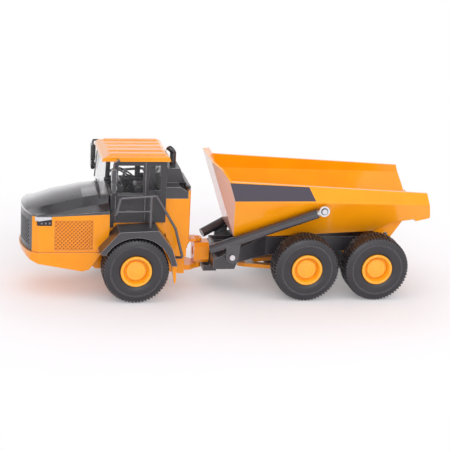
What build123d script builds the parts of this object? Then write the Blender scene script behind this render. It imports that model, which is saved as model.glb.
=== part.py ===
from build123d import *
from math import cos, pi, sin
import os

os.makedirs("parts", exist_ok=True)

# Die-cast toy of an articulated dump truck, in millimetres.
# X runs from the nose (negative) to the tail, Z is up from the floor, and the
# truck's left side, the one towards the viewer, is at negative Y.
# Side views are drawn as (x, z) points, plan views as (x, y), sections as (y, z).

# Wheels and axles
tyre_radius = 17.2
tyre_width = 14.7
tooth_height = 1.0
tooth_count = 30
shoulder_width = 1.6
shoulder_drop = 1.7
track_outside = 32.7
rim_radius = 8.1
rim_fit = 0.02
axle_radius = 1.5
running_fit = 0.06
front_axle_x = -49.2
middle_axle_x = 40.4
rear_axle_x = 78.1
axle_z = tyre_radius
tyre_inside = track_outside - tyre_width

# Clearances
wheel_gap = 0.8
seat_gap = 0.1
joint_gap = 0.3
hoist_play = 0.5

# Hood, side panels and bumper
nose_x = -106.3
panel_half_width = 22.0
grille_half_width = panel_half_width - 2.6
lamp_inside_y = grille_half_width + 1.1
grille_corner_x = -101.8
panel_front_x = -98.4
panel_rear_x = -62.4
bumper_top_z = 24.6
bumper_lip = 0.8
panel_top_z = 43.6
panel_top_rear_z = 44.8
grille_depth = 1.6
grille_frame = 1.6
lamp_low_z = 38.8
lamp_rear_x = -91.8
lamp_depth = 1.2
lamp_recess = 0.6
visor_low_z = 41.3
bulb_radius = 0.7
bulb_pitch = 2.0
mesh_front_x, mesh_rear_x = -90.4, -70.8
mesh_low_z, mesh_top_z = 25.8, 41.6
mesh_depth = 0.9
mesh_wall = 0.6
mesh_pitch = 2.0
diamond_side = 1.05

# Cab
screen_x = -66.0
cab_front_x = -60.4
cab_rear_x = -33.2
cab_overhang = 1.1
cab_half_width = tyre_inside - wheel_gap + cab_overhang
cab_wall = 1.4
cab_low_z = 39.4
strip_low_z = 36.8
cab_sill_z = 55.0
cab_top_z = 71.9
glass_wall = 0.8
glass_half = cab_half_width - cab_wall - seat_gap
screen_seat_z = 53.5
window_head = 2.3
window_top_z = cab_top_z - window_head
interior_half_width = glass_half - glass_wall - 2.0
seat_top_z = window_top_z - 3.1
roof_half_width = cab_half_width + 1.2
roof_height = 3.4
roof_top_z = cab_top_z + roof_height
rib_height = 0.7
rib_width = 3.6
rib_pitch = 7.6

# Front chassis and the housing behind the cab
chassis_half_width = tyre_inside - 5.5
deck_half_width = tyre_inside - wheel_gap
chassis_low_z = 12.8
deck_low_z = 27.0
housing_half_width = tyre_inside - 1.5
housing_rear_x = -21.3
housing_top_z = 51.6
flange_rear_x = -20.0
fender_low_radius = tyre_radius + 1.1

# Articulation: a steering pin through the clevis arms and a swing pin along X
steer_x = -13.2
swing_z = 18.4
steer_pin_radius = 1.2
arm_end_radius = 2.6
knuckle_front_x = -15.2
knuckle_rear_x = -7.2
knuckle_half_width = 5.8
knuckle_low_z = 12.9
knuckle_top_z = 23.9
swing_pin_radius = 2.4

# Rear frame
frame_half_width = tyre_inside - 6.0
cheek_outside = tyre_inside - 0.6
cheek_wall = 2.0
frame_front_x = -6.8
frame_top_z = 29.3
frame_low_z = 20.4
pivot_x = 85.9
pivot_z = 31.5
pivot_boss_radius = 2.6
pivot_pin_radius = 1.3
ear_wall = 3.0
tray_half_width = cheek_outside - 8.4
tray_wall = 1.1

# Bed: stations along X carry the edge, crease and floor heights
bed_inset = 2.3
bed_half_width = track_outside - bed_inset
wing_fold_y = bed_half_width - 5.4
bed_wall = 1.3
bed_floor_half_width = tyre_inside - 2.0
bed_floor_z = 31.0
inner_crease_rise = 2.6
bed_tail_x = 107.0
lip_wall = 1.2
bed_front_top = (-1.5, 64.4)
bed_rear_top = (102.5, 58.3)
guard_top_z = 71.0

# Hoist: the barrel runs up and outward along the bed's tapered side
barrel_start = Vector(-8.0, cheek_outside - 2.4, 23.5)
hoist_direction = Vector(55.7, 16.0, 25.4).normalized()
barrel_radius = 2.5
barrel_length = 60.0
eye_standoff = 3.28
hoist_eye = barrel_start + hoist_direction * (barrel_length + eye_standoff)
rod_radius = 1.5
eye_radius = 2.85
eye_width = 1.6
eye_boss_radius = 1.8
eye_boss_length = 3.7
rod_inside = 4.4
hoist_pin = (2.7, 20.6)
hoist_pin_radius = 1.0
lug_radius = 3.2
lug_wall = 2.0

# Tyres: two toothed halves, narrowed at the shoulder and staggered by half a tooth
half_tread = tyre_width / 2
tyre_middle = track_outside - half_tread


def toothed(share, turn):
    """Points of the tread's toothed outline, scaled by `share`; with `turn` 1 it is moved round by half a tooth."""
    points = []
    for step in range(2 * tooth_count):
        radius = share * (tyre_radius - tooth_height * ((step + turn) % 2))
        angle = pi * step / tooth_count
        points.append((radius * cos(angle), radius * sin(angle)))
    return points


# Distance from the middle plane, share of the full outline
tread_sections = [
    (0, 1),
    (half_tread - shoulder_width, 1),
    (half_tread, 1 - shoulder_drop / tyre_radius),
]
with BuildPart() as tyre:
    for turn, side in enumerate((-1, 1)):
        for y, share in tread_sections:
            with BuildSketch(Plane.XZ.offset(side * y)):
                Polygon(*toothed(share, turn), align=None)
        loft(ruled=True)
    Cylinder(rim_radius + rim_fit, tyre_width + 2, rotation=(90, 0, 0), mode=Mode.SUBTRACT)

# Rims with their axle: (radius, distance in from the tyre's outer face)
rim_back = tyre_width - 0.1
rim_flange = tyre_width - 1.5
hub_radius = 3.2
rim_profile = [
    (0, 0.9), (4.9, 0.9), (5.5, 1.5), (5.5, 2.3), (6.3, 2.3), (7.0, 0.4), (rim_radius, 0.2),
    (rim_radius, rim_flange), (hub_radius, rim_flange), (hub_radius, rim_back), (0, rim_back),
]
for axle_name, axle_x in (("front", front_axle_x), ("middle", middle_axle_x), ("rear", rear_axle_x)):
    for side_name, side in (("left", -1), ("right", 1)):
        placed = Pos(axle_x, side * tyre_middle, axle_z) * tyre.part
        placed.label = f"tyre_{axle_name}_{side_name}"
        export_step(placed, f"parts/tyre_{axle_name}_{side_name}.step")
    with BuildPart() as rims:
        with BuildSketch(Plane.XY.offset(axle_z)):
            Polygon(*[(axle_x + r, y - track_outside) for r, y in rim_profile], align=None)
            Polygon(*[(axle_x + r, track_outside - y) for r, y in rim_profile], align=None)
            with Locations((axle_x + axle_radius / 2, 0)):
                Rectangle(axle_radius, 2 * tyre_inside + 2)
        revolve(axis=Axis((axle_x, 0, axle_z), (0, 1, 0)))
    rims.part.label = f"rims_{axle_name}"
    export_step(rims.part, f"parts/rims_{axle_name}.step")


def nose_outline(inset, rear_x):
    """Plan view of the hood's rounded nose, set in all round by `inset`."""
    side = panel_half_width - inset
    corner_y = grille_half_width - inset
    with BuildSketch() as outline:
        with BuildLine():
            Polyline((grille_corner_x + inset, corner_y), (panel_front_x, side), (rear_x, side), (rear_x, -side),
                     (panel_front_x, -side), (grille_corner_x + inset, -corner_y))
            ThreePointArc((grille_corner_x + inset, -corner_y), (nose_x + inset, 0),
                          (grille_corner_x + inset, corner_y))
        make_face()
    return outline.sketch


# Side view of the belly, shared by the bumper and the side panels, with the seam under the hood
seam = [(panel_rear_x, panel_top_rear_z), (lamp_rear_x, panel_top_z), (-110, panel_top_z)]
flank = [
    (-110, bumper_top_z), (-106, 22.6), (-103, 20.6), (-99, 18.9), (-76, 14.6), (-72.4, 15.6),
    (-67.4, 22.9), (-62.9, 31.5), (panel_rear_x, 36), *seam,
]
with BuildPart() as side_panels:
    with BuildSketch(Plane.XY.offset(bumper_top_z + seat_gap)):
        add(nose_outline(0, panel_rear_x))
    extrude(amount=panel_top_rear_z - bumper_top_z)
    with BuildSketch(Plane.XZ):
        Polygon(*flank, align=None)
    extrude(amount=panel_half_width + 2, both=True, mode=Mode.INTERSECT)
    # Strip taken from the nose for the grille
    with BuildSketch(Plane.XY.offset(bumper_top_z)):
        with Locations((nose_x, 0)):
            Rectangle(20, 2 * grille_half_width)
        add(nose_outline(grille_depth + seat_gap, panel_rear_x), mode=Mode.SUBTRACT)
    extrude(amount=panel_top_z, mode=Mode.SUBTRACT)
    # Pockets for the wrap-round lamps and for the mesh plates
    for side in (-1, 1):
        with BuildSketch(Plane.XY.offset(lamp_low_z)):
            with Locations((lamp_rear_x, side * (lamp_inside_y - seat_gap))):
                Rectangle(20, 8, align=(Align.MAX, Align.MIN if side > 0 else Align.MAX))
            add(nose_outline(lamp_depth + seat_gap, panel_rear_x), mode=Mode.SUBTRACT)
        extrude(amount=panel_top_z, mode=Mode.SUBTRACT)
        with BuildSketch(Plane.XZ.offset(side * panel_half_width)):
            with Locations(((mesh_front_x + mesh_rear_x) / 2, (mesh_low_z + mesh_top_z) / 2)):
                Rectangle(mesh_rear_x - mesh_front_x, mesh_top_z - mesh_low_z)
        extrude(amount=-side * mesh_depth, mode=Mode.SUBTRACT)
side_panels.part.label = "side_panels"
export_step(side_panels.part, "parts/side_panels.step")

with BuildPart() as bumper:
    with BuildSketch(Plane.XY.offset(10)):
        add(nose_outline(-bumper_lip, panel_rear_x))
    extrude(amount=bumper_top_z - 10)
    with BuildSketch(Plane.XZ):
        Polygon(*flank, align=None)
    extrude(amount=panel_half_width + 2, both=True, mode=Mode.INTERSECT)
bumper.part.label = "bumper"
export_step(bumper.part, "parts/bumper.step")


def diamond_field(width, height):
    """Staggered diamonds that fill a field of the given size."""
    columns = int(width / mesh_pitch)
    rows = int(height / mesh_pitch)
    with BuildSketch() as field:
        with GridLocations(mesh_pitch, mesh_pitch, columns, rows):
            Rectangle(diamond_side, diamond_side, rotation=45)
        with GridLocations(mesh_pitch, mesh_pitch, columns - 1, rows - 1):
            Rectangle(diamond_side, diamond_side, rotation=45)
    return field.sketch


# Mesh plates seated in the side panels
mesh_length = mesh_rear_x - mesh_front_x
mesh_height = mesh_top_z - mesh_low_z
mesh_inside_y = panel_half_width - mesh_depth + seat_gap
for side_name, side in (("left", 1), ("right", -1)):
    with BuildPart() as mesh:
        with BuildSketch(Plane.XZ.offset(side * mesh_inside_y)):
            with Locations(((mesh_front_x + mesh_rear_x) / 2, (mesh_low_z + mesh_top_z) / 2)):
                Rectangle(mesh_length - 2 * seat_gap, mesh_height - 2 * seat_gap)
                add(diamond_field(mesh_length, mesh_height), mode=Mode.SUBTRACT)
        extrude(amount=side * mesh_wall)
    mesh.part.label = f"mesh_{side_name}"
    export_step(mesh.part, f"parts/mesh_{side_name}.step")

# Grille that follows the nose, with diamond recesses inside its frame
grille_low_z = bumper_top_z + seat_gap
grille_height = panel_top_z - grille_low_z
with BuildPart() as recesses:
    with BuildSketch(Plane.YZ.offset(nose_x - 1)):
        with Locations((0, grille_low_z + grille_height / 2)):
            add(diamond_field(2 * (grille_half_width - grille_frame), grille_height - 2 * grille_frame))
    extrude(amount=12)
    with BuildSketch(Plane.XY.offset(grille_low_z)):
        add(nose_outline(grille_depth / 2, panel_rear_x))
    extrude(amount=grille_height, mode=Mode.SUBTRACT)
with BuildPart() as grille:
    with BuildSketch(Plane.XY.offset(grille_low_z)):
        with Locations((nose_x, 0)):
            Rectangle(16, 2 * (grille_half_width - seat_gap))
        add(nose_outline(0, panel_rear_x), mode=Mode.INTERSECT)
        add(nose_outline(grille_depth, panel_rear_x), mode=Mode.SUBTRACT)
    extrude(amount=grille_height)
    add(recesses.part, mode=Mode.SUBTRACT)
grille.part.label = "grille"
export_step(grille.part, "parts/grille.step")

# Lamps: a recessed strip with round bulbs under a visor, as (low z, high z, inset)
lamp_steps = [
    (lamp_low_z + seat_gap, visor_low_z, lamp_recess),
    (visor_low_z, panel_top_z - seat_gap, 0),
]
with BuildPart() as lamps:
    for side in (-1, 1):
        for low_z, high_z, inset in lamp_steps:
            with BuildSketch(Plane.XY.offset(low_z)):
                with Locations((lamp_rear_x - seat_gap, side * lamp_inside_y)):
                    Rectangle(20, 6, align=(Align.MAX, Align.MIN if side > 0 else Align.MAX))
                add(nose_outline(inset, panel_rear_x), mode=Mode.INTERSECT)
                add(nose_outline(lamp_depth, panel_rear_x), mode=Mode.SUBTRACT)
            extrude(amount=high_z - low_z)
        with BuildSketch(Plane.XZ.offset(side * (panel_half_width - lamp_depth))):
            with Locations((lamp_rear_x - 3.2, (lamp_low_z + seat_gap + visor_low_z) / 2)):
                with GridLocations(bulb_pitch, 0, 3, 1):
                    Circle(bulb_radius)
        extrude(amount=side * (lamp_depth - 0.1))
lamps.part.label = "lamps"
export_step(lamps.part, "parts/lamps.step")

# Hood cover: station x, edge z, ledge width and inner z, shoulder set-in and z, crown z
hood_stations = [
    (-108.0, 43.3, 0.3, 43.5, 10.0, 43.7, 44.6),
    (-104.0, 43.6, 0.4, 43.8, 9.0, 44.9, 46.5),
    (-91.0, 44.2, 1.6, 44.9, 7.0, 48.6, 51.0),
    (-76.0, 45.3, 4.5, 47.2, 7.7, 52.0, 54.4),
    (panel_rear_x, 46.4, 7.1, 49.2, 9.1, 53.8, 56.2),
]
with BuildPart() as hood_cover:
    for x, edge_z, ledge_width, ledge_z, shoulder_inset, shoulder_z, crown_z in hood_stations:
        ledge_y = panel_half_width - ledge_width
        shoulder_y = panel_half_width - shoulder_inset
        with BuildSketch(Plane.YZ.offset(x)):
            with BuildLine():
                Polyline((-shoulder_y, shoulder_z), (-ledge_y, ledge_z), (-panel_half_width, edge_z),
                         (-panel_half_width, 40), (panel_half_width, 40), (panel_half_width, edge_z),
                         (ledge_y, ledge_z), (shoulder_y, shoulder_z))
                ThreePointArc((shoulder_y, shoulder_z), (0, crown_z), (-shoulder_y, shoulder_z))
            make_face()
    loft(ruled=True)
    with BuildSketch(Plane.XY.offset(40)):
        add(nose_outline(0, panel_rear_x))
    extrude(amount=20, mode=Mode.INTERSECT)
    # Lower edge along the seam
    with BuildSketch(Plane.XZ):
        Polygon(*[(x, z + seat_gap) for x, z in seam], (-110, 30), (panel_rear_x, 30), align=None)
    extrude(amount=panel_half_width + 2, both=True, mode=Mode.SUBTRACT)
    # Seat for the windscreen's foot
    with BuildSketch(Plane.XY.offset(screen_seat_z)):
        with Locations((screen_x - 1.4, 0)):
            Rectangle(20, 2 * (glass_half + 0.4), align=(Align.MIN, Align.CENTER))
    extrude(amount=10, mode=Mode.SUBTRACT)
hood_cover.part.label = "hood_cover"
export_step(hood_cover.part, "parts/hood_cover.step")

# Front chassis: the spine between the wheels, the deck under the cab and the clevis arms
arm_end_x = steer_x + arm_end_radius
arm_gap = 0.4
arm_top = [
    (-21.4, 20.9), (-18.7, 20.9), (-18.7, 22.4), (-17.6, knuckle_top_z + arm_gap),
    (arm_end_x, knuckle_top_z + arm_gap), (arm_end_x, 26.0), (-16.4, 26.0), (-21.4, 24.0),
]
arm_low = [(-21.4, 9.7), (arm_end_x, 9.7), (arm_end_x, knuckle_low_z - arm_gap), (-21.4, knuckle_low_z - arm_gap)]
with BuildPart() as chassis:
    with BuildSketch(Plane.XZ):
        Polygon((-72.0, 15.6), (-68, chassis_low_z), (-40, chassis_low_z), (-24, 9.7), (-21.4, 9.7),
                (-21.4, deck_low_z), (-65.0, deck_low_z), (-67.2, 22.7), align=None)
    extrude(amount=chassis_half_width, both=True)
    with BuildSketch(Plane.XZ):
        Polygon((panel_rear_x + 0.6, deck_low_z), (cab_rear_x, deck_low_z), (cab_rear_x, cab_low_z - seat_gap),
                (panel_rear_x + 0.6, cab_low_z - seat_gap), align=None)
    extrude(amount=deck_half_width, both=True)
    for outline, half_width in ((arm_top, 3.6), (arm_low, 7.0)):
        with BuildSketch(Plane.XZ):
            Polygon(*outline, align=None)
        extrude(amount=half_width, both=True)
    # Arm ends rounded about the steering pin
    with BuildSketch(Plane.XY):
        with BuildLine():
            Polyline((steer_x, arm_end_radius), (-18.5, 8), (-18.5, 12), (0, 12),
                     (0, -12), (-18.5, -12), (-18.5, -8), (steer_x, -arm_end_radius))
            ThreePointArc((steer_x, -arm_end_radius), (steer_x + arm_end_radius, 0), (steer_x, arm_end_radius))
        make_face()
    extrude(amount=30, mode=Mode.SUBTRACT)
    with Locations((steer_x, 0, 18)):
        Cylinder(steer_pin_radius + running_fit, 30, mode=Mode.SUBTRACT)
    with Locations((front_axle_x, 0, axle_z)):
        Cylinder(axle_radius + running_fit, 2 * track_outside, rotation=(90, 0, 0), mode=Mode.SUBTRACT)
chassis.part.label = "chassis"
export_step(chassis.part, "parts/chassis.step")

with BuildPart() as housing:
    with BuildSketch(Plane.XZ):
        Polygon((cab_rear_x + seat_gap, 34), (-28.5, 20.2), (housing_rear_x, 20.2), (housing_rear_x, housing_top_z),
                (cab_rear_x + seat_gap, housing_top_z), align=None)
    extrude(amount=housing_half_width, both=True)
    with BuildSketch(Plane.XZ):
        Polygon((housing_rear_x, deck_low_z + 0.4), (flange_rear_x, deck_low_z + 0.4), (flange_rear_x, 55.8),
                (housing_rear_x, 55.8), align=None)
    extrude(amount=housing_half_width, both=True)
    # Room for the spine that passes through
    with BuildSketch(Plane.XZ):
        Polygon((-40, 15), (flange_rear_x + 1, 15), (flange_rear_x + 1, deck_low_z + seat_gap),
                (-40, deck_low_z + seat_gap), align=None)
    extrude(amount=chassis_half_width + seat_gap, both=True, mode=Mode.SUBTRACT)
    chamfer(housing.part.edges().filter_by(Axis.Z).group_by(Axis.X)[-1], 0.6)
housing.part.label = "housing"
export_step(housing.part, "parts/housing.step")

# Faceted front fenders over the tyres
fender_outline = [
    (-68.2, 27.1), (-58.2, 38.4), (-38.4, 39.2), (-31.0, 29.4), (-28.0, 20.0), (-36, 17), (-60, 17), (-65.2, 26.0),
]
for side_name, side in (("left", 1), ("right", -1)):
    with BuildPart() as fender:
        with BuildSketch(Plane.XZ.offset(side * (deck_half_width + seat_gap))):
            Polygon(*fender_outline, align=None)
            with Locations((front_axle_x, axle_z)):
                Circle(fender_low_radius, mode=Mode.SUBTRACT)
            with Locations((front_axle_x, axle_z)):
                Rectangle(80, 6.0, mode=Mode.SUBTRACT)
        extrude(amount=side * (track_outside + 0.2 - deck_half_width - seat_gap))
        # Room for the side panel in front
        with Locations((panel_rear_x + 0.4, 0, 30)):
            Box(20, 2 * panel_half_width + 0.4, 40, align=(Align.MAX, Align.CENTER, Align.CENTER), mode=Mode.SUBTRACT)
    fender.part.label = f"fender_{side_name}"
    export_step(fender.part, f"parts/fender_{side_name}.step")

# Tapered steps that hang from the fenders' rear ends
step_y = track_outside - 5.7
with BuildPart() as steps:
    for side in (-1, 1):
        with BuildSketch(Plane((-29.4, side * step_y, 19.9))):
            Rectangle(2.6, 5.0)
        with BuildSketch(Plane((-28.4, side * step_y, 9.4))):
            Rectangle(0.9, 2.0)
        loft()
steps.part.label = "steps"
export_step(steps.part, "parts/steps.step")

# Cab: a dark shell with its windows cut, the clear moulding inside it and the ribbed roof
front_window = (-58.8, -45.3, cab_sill_z, window_top_z)
rear_window = (-42.6, -36.4, cab_sill_z + 1.5, window_top_z)
back_window_half = cab_half_width - 6.3
with BuildPart() as cab_shell:
    with BuildSketch(Plane.XZ):
        Polygon((panel_rear_x + 0.7, cab_low_z), (cab_rear_x, cab_low_z), (cab_rear_x, cab_top_z),
                (cab_front_x, cab_top_z), (cab_front_x - 0.8, cab_sill_z - 1), (panel_rear_x + 0.7, cab_sill_z - 1),
                align=None)
    extrude(amount=cab_half_width, both=True)
    with BuildSketch(Plane.XZ):
        Polygon((panel_rear_x + 0.7 + cab_wall, cab_low_z + cab_wall), (cab_rear_x - cab_wall, cab_low_z + cab_wall),
                (cab_rear_x - cab_wall, cab_top_z + 1), (-70, cab_top_z + 1), (-70, cab_sill_z - 2.4),
                (panel_rear_x + 0.7 + cab_wall, cab_sill_z - 2.4), align=None)
    extrude(amount=cab_half_width - cab_wall, both=True, mode=Mode.SUBTRACT)
    # Dark strips that run down between the side panels and the fenders
    for side in (-1, 1):
        with BuildSketch(Plane.XZ.offset(side * (deck_half_width + seat_gap))):
            Polygon((panel_rear_x + 0.3, strip_low_z), (-60.0, strip_low_z), (-60.0, cab_low_z + cab_wall),
                    (panel_rear_x + 0.3, cab_low_z + cab_wall), align=None)
        extrude(amount=side * (cab_half_width - deck_half_width - seat_gap))
    for x0, x1, z0, z1 in (front_window, rear_window):
        with BuildSketch(Plane.XZ):
            Polygon((x0, z0), (x1, z0), (x1, z1), (x0 + 0.6, z1), align=None)
        extrude(amount=cab_half_width + 2, both=True, mode=Mode.SUBTRACT)
    with BuildSketch(Plane.YZ.offset(cab_rear_x + 1)):
        Polygon((-back_window_half, 60.5), (back_window_half, 60.5), (back_window_half, window_top_z),
                (-back_window_half, window_top_z), align=None)
    extrude(amount=-4, mode=Mode.SUBTRACT)
cab_shell.part.label = "cab_shell"
export_step(cab_shell.part, "parts/cab_shell.step")

glass_side = [(screen_x - 0.9, cab_sill_z - 1.2), (cab_rear_x - cab_wall - seat_gap, cab_sill_z - 1.2),
              (cab_rear_x - cab_wall - seat_gap, cab_top_z - 0.1), (screen_x + 0.6, cab_top_z - 0.1)]
with BuildPart() as glazing:
    with BuildSketch(Plane.XZ):
        Polygon(*glass_side, align=None)
    extrude(amount=glass_half, both=True)
    low_face = glazing.part.faces().sort_by(Axis.Z)[0]
    offset(amount=-glass_wall, openings=low_face)
glazing.part.label = "glazing"
export_step(glazing.part, "parts/glazing.step")

roof_low_z = cab_top_z + seat_gap
roof_side = [
    (-67.0, roof_low_z), (-66.4, roof_low_z + 1.6), (-59.4, roof_top_z + 1.7), (-37.0, roof_top_z + 1.7),
    (-32.2, roof_low_z + 2.2), (-31.4, roof_low_z),
]
with BuildPart() as roof:
    with BuildSketch(Plane.YZ.offset(-68)):
        Polygon((-roof_half_width, roof_low_z), (-roof_half_width, roof_top_z - 1.1),
                (-roof_half_width + 1.2, roof_top_z - 0.6), (0, roof_top_z), (roof_half_width - 1.2, roof_top_z - 0.6),
                (roof_half_width, roof_top_z - 1.1), (roof_half_width, roof_low_z), align=None)
        with GridLocations(rib_pitch, 0, 5, 1):
            with Locations((0, roof_top_z - 1.5)):
                Trapezoid(rib_width, 3.0 + 2 * rib_height - 0.6, 80)
    extrude(amount=38)
    with BuildSketch(Plane.XZ):
        Polygon(*roof_side, align=None)
    extrude(amount=roof_half_width + 1, both=True, mode=Mode.INTERSECT)
roof.part.label = "roof"
export_step(roof.part, "parts/roof.step")

with BuildPart() as interior:
    with BuildSketch(Plane.XZ):
        Polygon((-58.5, cab_low_z + cab_wall + seat_gap), (-36, cab_low_z + cab_wall + seat_gap), (-36, 44),
                (-58.5, 44), align=None)
    extrude(amount=interior_half_width, both=True)
    # Seat, drawn from the side
    with BuildSketch(Plane.XZ):
        Polygon((-47, 44), (-38, 44), (-37.4, seat_top_z), (-40.2, seat_top_z), (-41.4, 54), (-47.6, 54), align=None)
    extrude(amount=5.5, both=True)
    # Console and steering column
    with BuildSketch(Plane.XZ):
        Polygon((-58.5, 44), (-53, 44), (-54.6, 56.5), (-58.5, 57.5), align=None)
    extrude(amount=9, both=True)
    with BuildSketch(Plane.XZ):
        Polygon((-56, 56), (-54.8, 56), (-52.2, 61.0), (-53.2, 61.5), align=None)
    extrude(amount=0.7, both=True)
    with BuildSketch(Plane(origin=(-52.8, 0, 61.2), x_dir=(0, 1, 0), z_dir=(0.47, 0, 0.88))):
        Circle(4.6)
        Circle(3.8, mode=Mode.SUBTRACT)
        Rectangle(8.4, 0.9)
    extrude(amount=0.8)
interior.part.label = "cab_interior"
export_step(interior.part, "parts/cab_interior.step")

# Black intake boxes and the exhaust stack behind the cab
with BuildPart() as intake:
    with BuildSketch(Plane.XZ):
        Polygon((cab_rear_x + seat_gap, housing_top_z + seat_gap),
                (housing_rear_x - seat_gap, housing_top_z + seat_gap), (housing_rear_x - seat_gap, 55.2),
                (-25.6, 57.8), (cab_rear_x + seat_gap, 57.8), align=None)
    extrude(amount=housing_half_width, both=True)
    with BuildSketch(Plane.XZ):
        Polygon((-31.6, 57.8), (-21.8, 57.8), (-24.8, 65.7), (-31.2, 65.7), align=None)
    extrude(amount=8, both=True)
    with BuildSketch(Plane.XZ):
        Polygon((-22.6, 57.8), (-22.0, 58.8), (-19.8, 57.6), (-19.8, 55.9), (-20.8, 55.9), (-20.8, 57.0), align=None)
    extrude(amount=housing_half_width - 2.5, both=True)
intake.part.label = "intake_boxes"
export_step(intake.part, "parts/intake_boxes.step")

stack_x, stack_y, stack_radius = -27.4, 2.0, 1.65
with BuildPart() as stack:
    with BuildLine() as stack_path:
        l1 = Line((stack_x, stack_y, 65.8), (stack_x, stack_y, 71.6))
        l2 = RadiusArc(l1 @ 1, (stack_x - 2.3, stack_y, 74.0), 2.6)
    with BuildSketch(Plane((stack_x, stack_y, 65.8))):
        Circle(stack_radius)
    sweep(path=stack_path.wire())
    with BuildSketch(Plane((stack_x, stack_y, 65.8))):
        Circle(stack_radius - 0.6)
    sweep(path=stack_path.wire(), mode=Mode.SUBTRACT)
stack.part.label = "exhaust_stack"
export_step(stack.part, "parts/exhaust_stack.step")


def tube(points, radius, bend):
    """Round bar of `radius` along `points`, its corners bent to the radius `bend`."""
    with BuildPart() as bar:
        with BuildLine() as route:
            FilletPolyline(*points, radius=bend)
        with BuildSketch(route.wire() ^ 0):
            Circle(radius)
        sweep(path=route.wire())
    return bar.part


# Handrails: the outer frame, the middle bar and the post that stands on the fender
rail_inset = 4.7
rail_y = track_outside - rail_inset
rail_radius = 0.7
rail_loop = [
    (-60.9, cab_half_width + 0.1, 45.4), (-59.8, rail_y, 46.0), (-57.8, rail_y, 55.0), (-39.6, rail_y, 56.3),
    (-29.2, rail_y, 38.9), (-25.0, rail_y, 23.4), (-27.9, rail_y - 3, 22.6),
]
for side_name, side in (("left", -1), ("right", 1)):
    loop_bar = tube([(x, side * y, z) for x, y, z in rail_loop], rail_radius, 1.2)
    middle_bar = tube([(-59.3, side * rail_y, 47.9), (-50, side * rail_y, 48.0), (-42.2, side * rail_y, 48.2)], 0.5, 3)
    with BuildPart() as handrail:
        add(loop_bar)
        add(middle_bar)
        with Locations((-42.2, side * rail_y, (39.2 + 56.0) / 2)):
            Cylinder(rail_radius, 56.0 - 39.2)
    handrail.part.label = f"handrail_{side_name}"
    export_step(handrail.part, f"parts/handrail_{side_name}.step")

# Mirrors: name, side, x of the heads, x of the arm's foot, large head's drop below the cab's top and its height,
# small head's height
mirror_table = [
    ("left", -1, -61.4, -58.6, 1.9, 7.9, 4.0),
    ("right", 1, -67.2, -64.4, 1.3, 9.4, 4.0),
]
mirror_y = roof_half_width + 6.3
arm_z = cab_top_z + 1.3
for side_name, side, head_x, foot_x, head_drop, head_height, small_height in mirror_table:
    head_top = cab_top_z - head_drop
    arm_bar = tube([(foot_x, side * (roof_half_width + 0.05), arm_z), (foot_x, side * (roof_half_width + 2.9), arm_z),
                    (head_x, side * mirror_y, arm_z - 0.8), (head_x, side * mirror_y, head_top - 1)], 0.55, 0.9)
    with BuildPart() as mirror:
        add(arm_bar)
        with BuildSketch(Plane.XZ.offset(-side * mirror_y)):
            with Locations((head_x, head_top - head_height / 2)):
                SlotOverall(head_height, 2.5, rotation=90)
            with Locations((head_x, head_top - head_height - small_height / 2)):
                SlotOverall(small_height + 0.8, 2.3, rotation=90)
        extrude(amount=2.2, both=True)
    mirror.part.label = f"mirror_{side_name}"
    export_step(mirror.part, f"parts/mirror_{side_name}.step")

# Knuckle: an octagonal block with the steering pin and the swing pin
corner = 2.2
knuckle_face = [
    (-knuckle_half_width, knuckle_low_z + corner), (-knuckle_half_width + corner, knuckle_low_z),
    (knuckle_half_width - corner, knuckle_low_z), (knuckle_half_width, knuckle_low_z + corner),
    (knuckle_half_width, knuckle_top_z - corner), (knuckle_half_width - corner, knuckle_top_z),
    (-knuckle_half_width + corner, knuckle_top_z), (-knuckle_half_width, knuckle_top_z - corner),
]
with BuildPart() as knuckle:
    with BuildSketch(Plane.YZ.offset(knuckle_front_x)):
        Polygon(*knuckle_face, align=None)
    extrude(amount=knuckle_rear_x - knuckle_front_x)
    with Locations((steer_x, 0, (9.0 + 26.6) / 2)):
        Cylinder(steer_pin_radius, 26.6 - 9.0)
    with Locations(Location((knuckle_rear_x + 5, 0, swing_z), (0, 90, 0))):
        Cylinder(swing_pin_radius, 12)
    # Round recess in the front face
    with BuildSketch(Plane.YZ.offset(knuckle_front_x)):
        with Locations((0, swing_z)):
            Circle(swing_pin_radius)
    extrude(amount=0.7, mode=Mode.SUBTRACT)
knuckle.part.label = "knuckle"
export_step(knuckle.part, "parts/knuckle.step")

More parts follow.
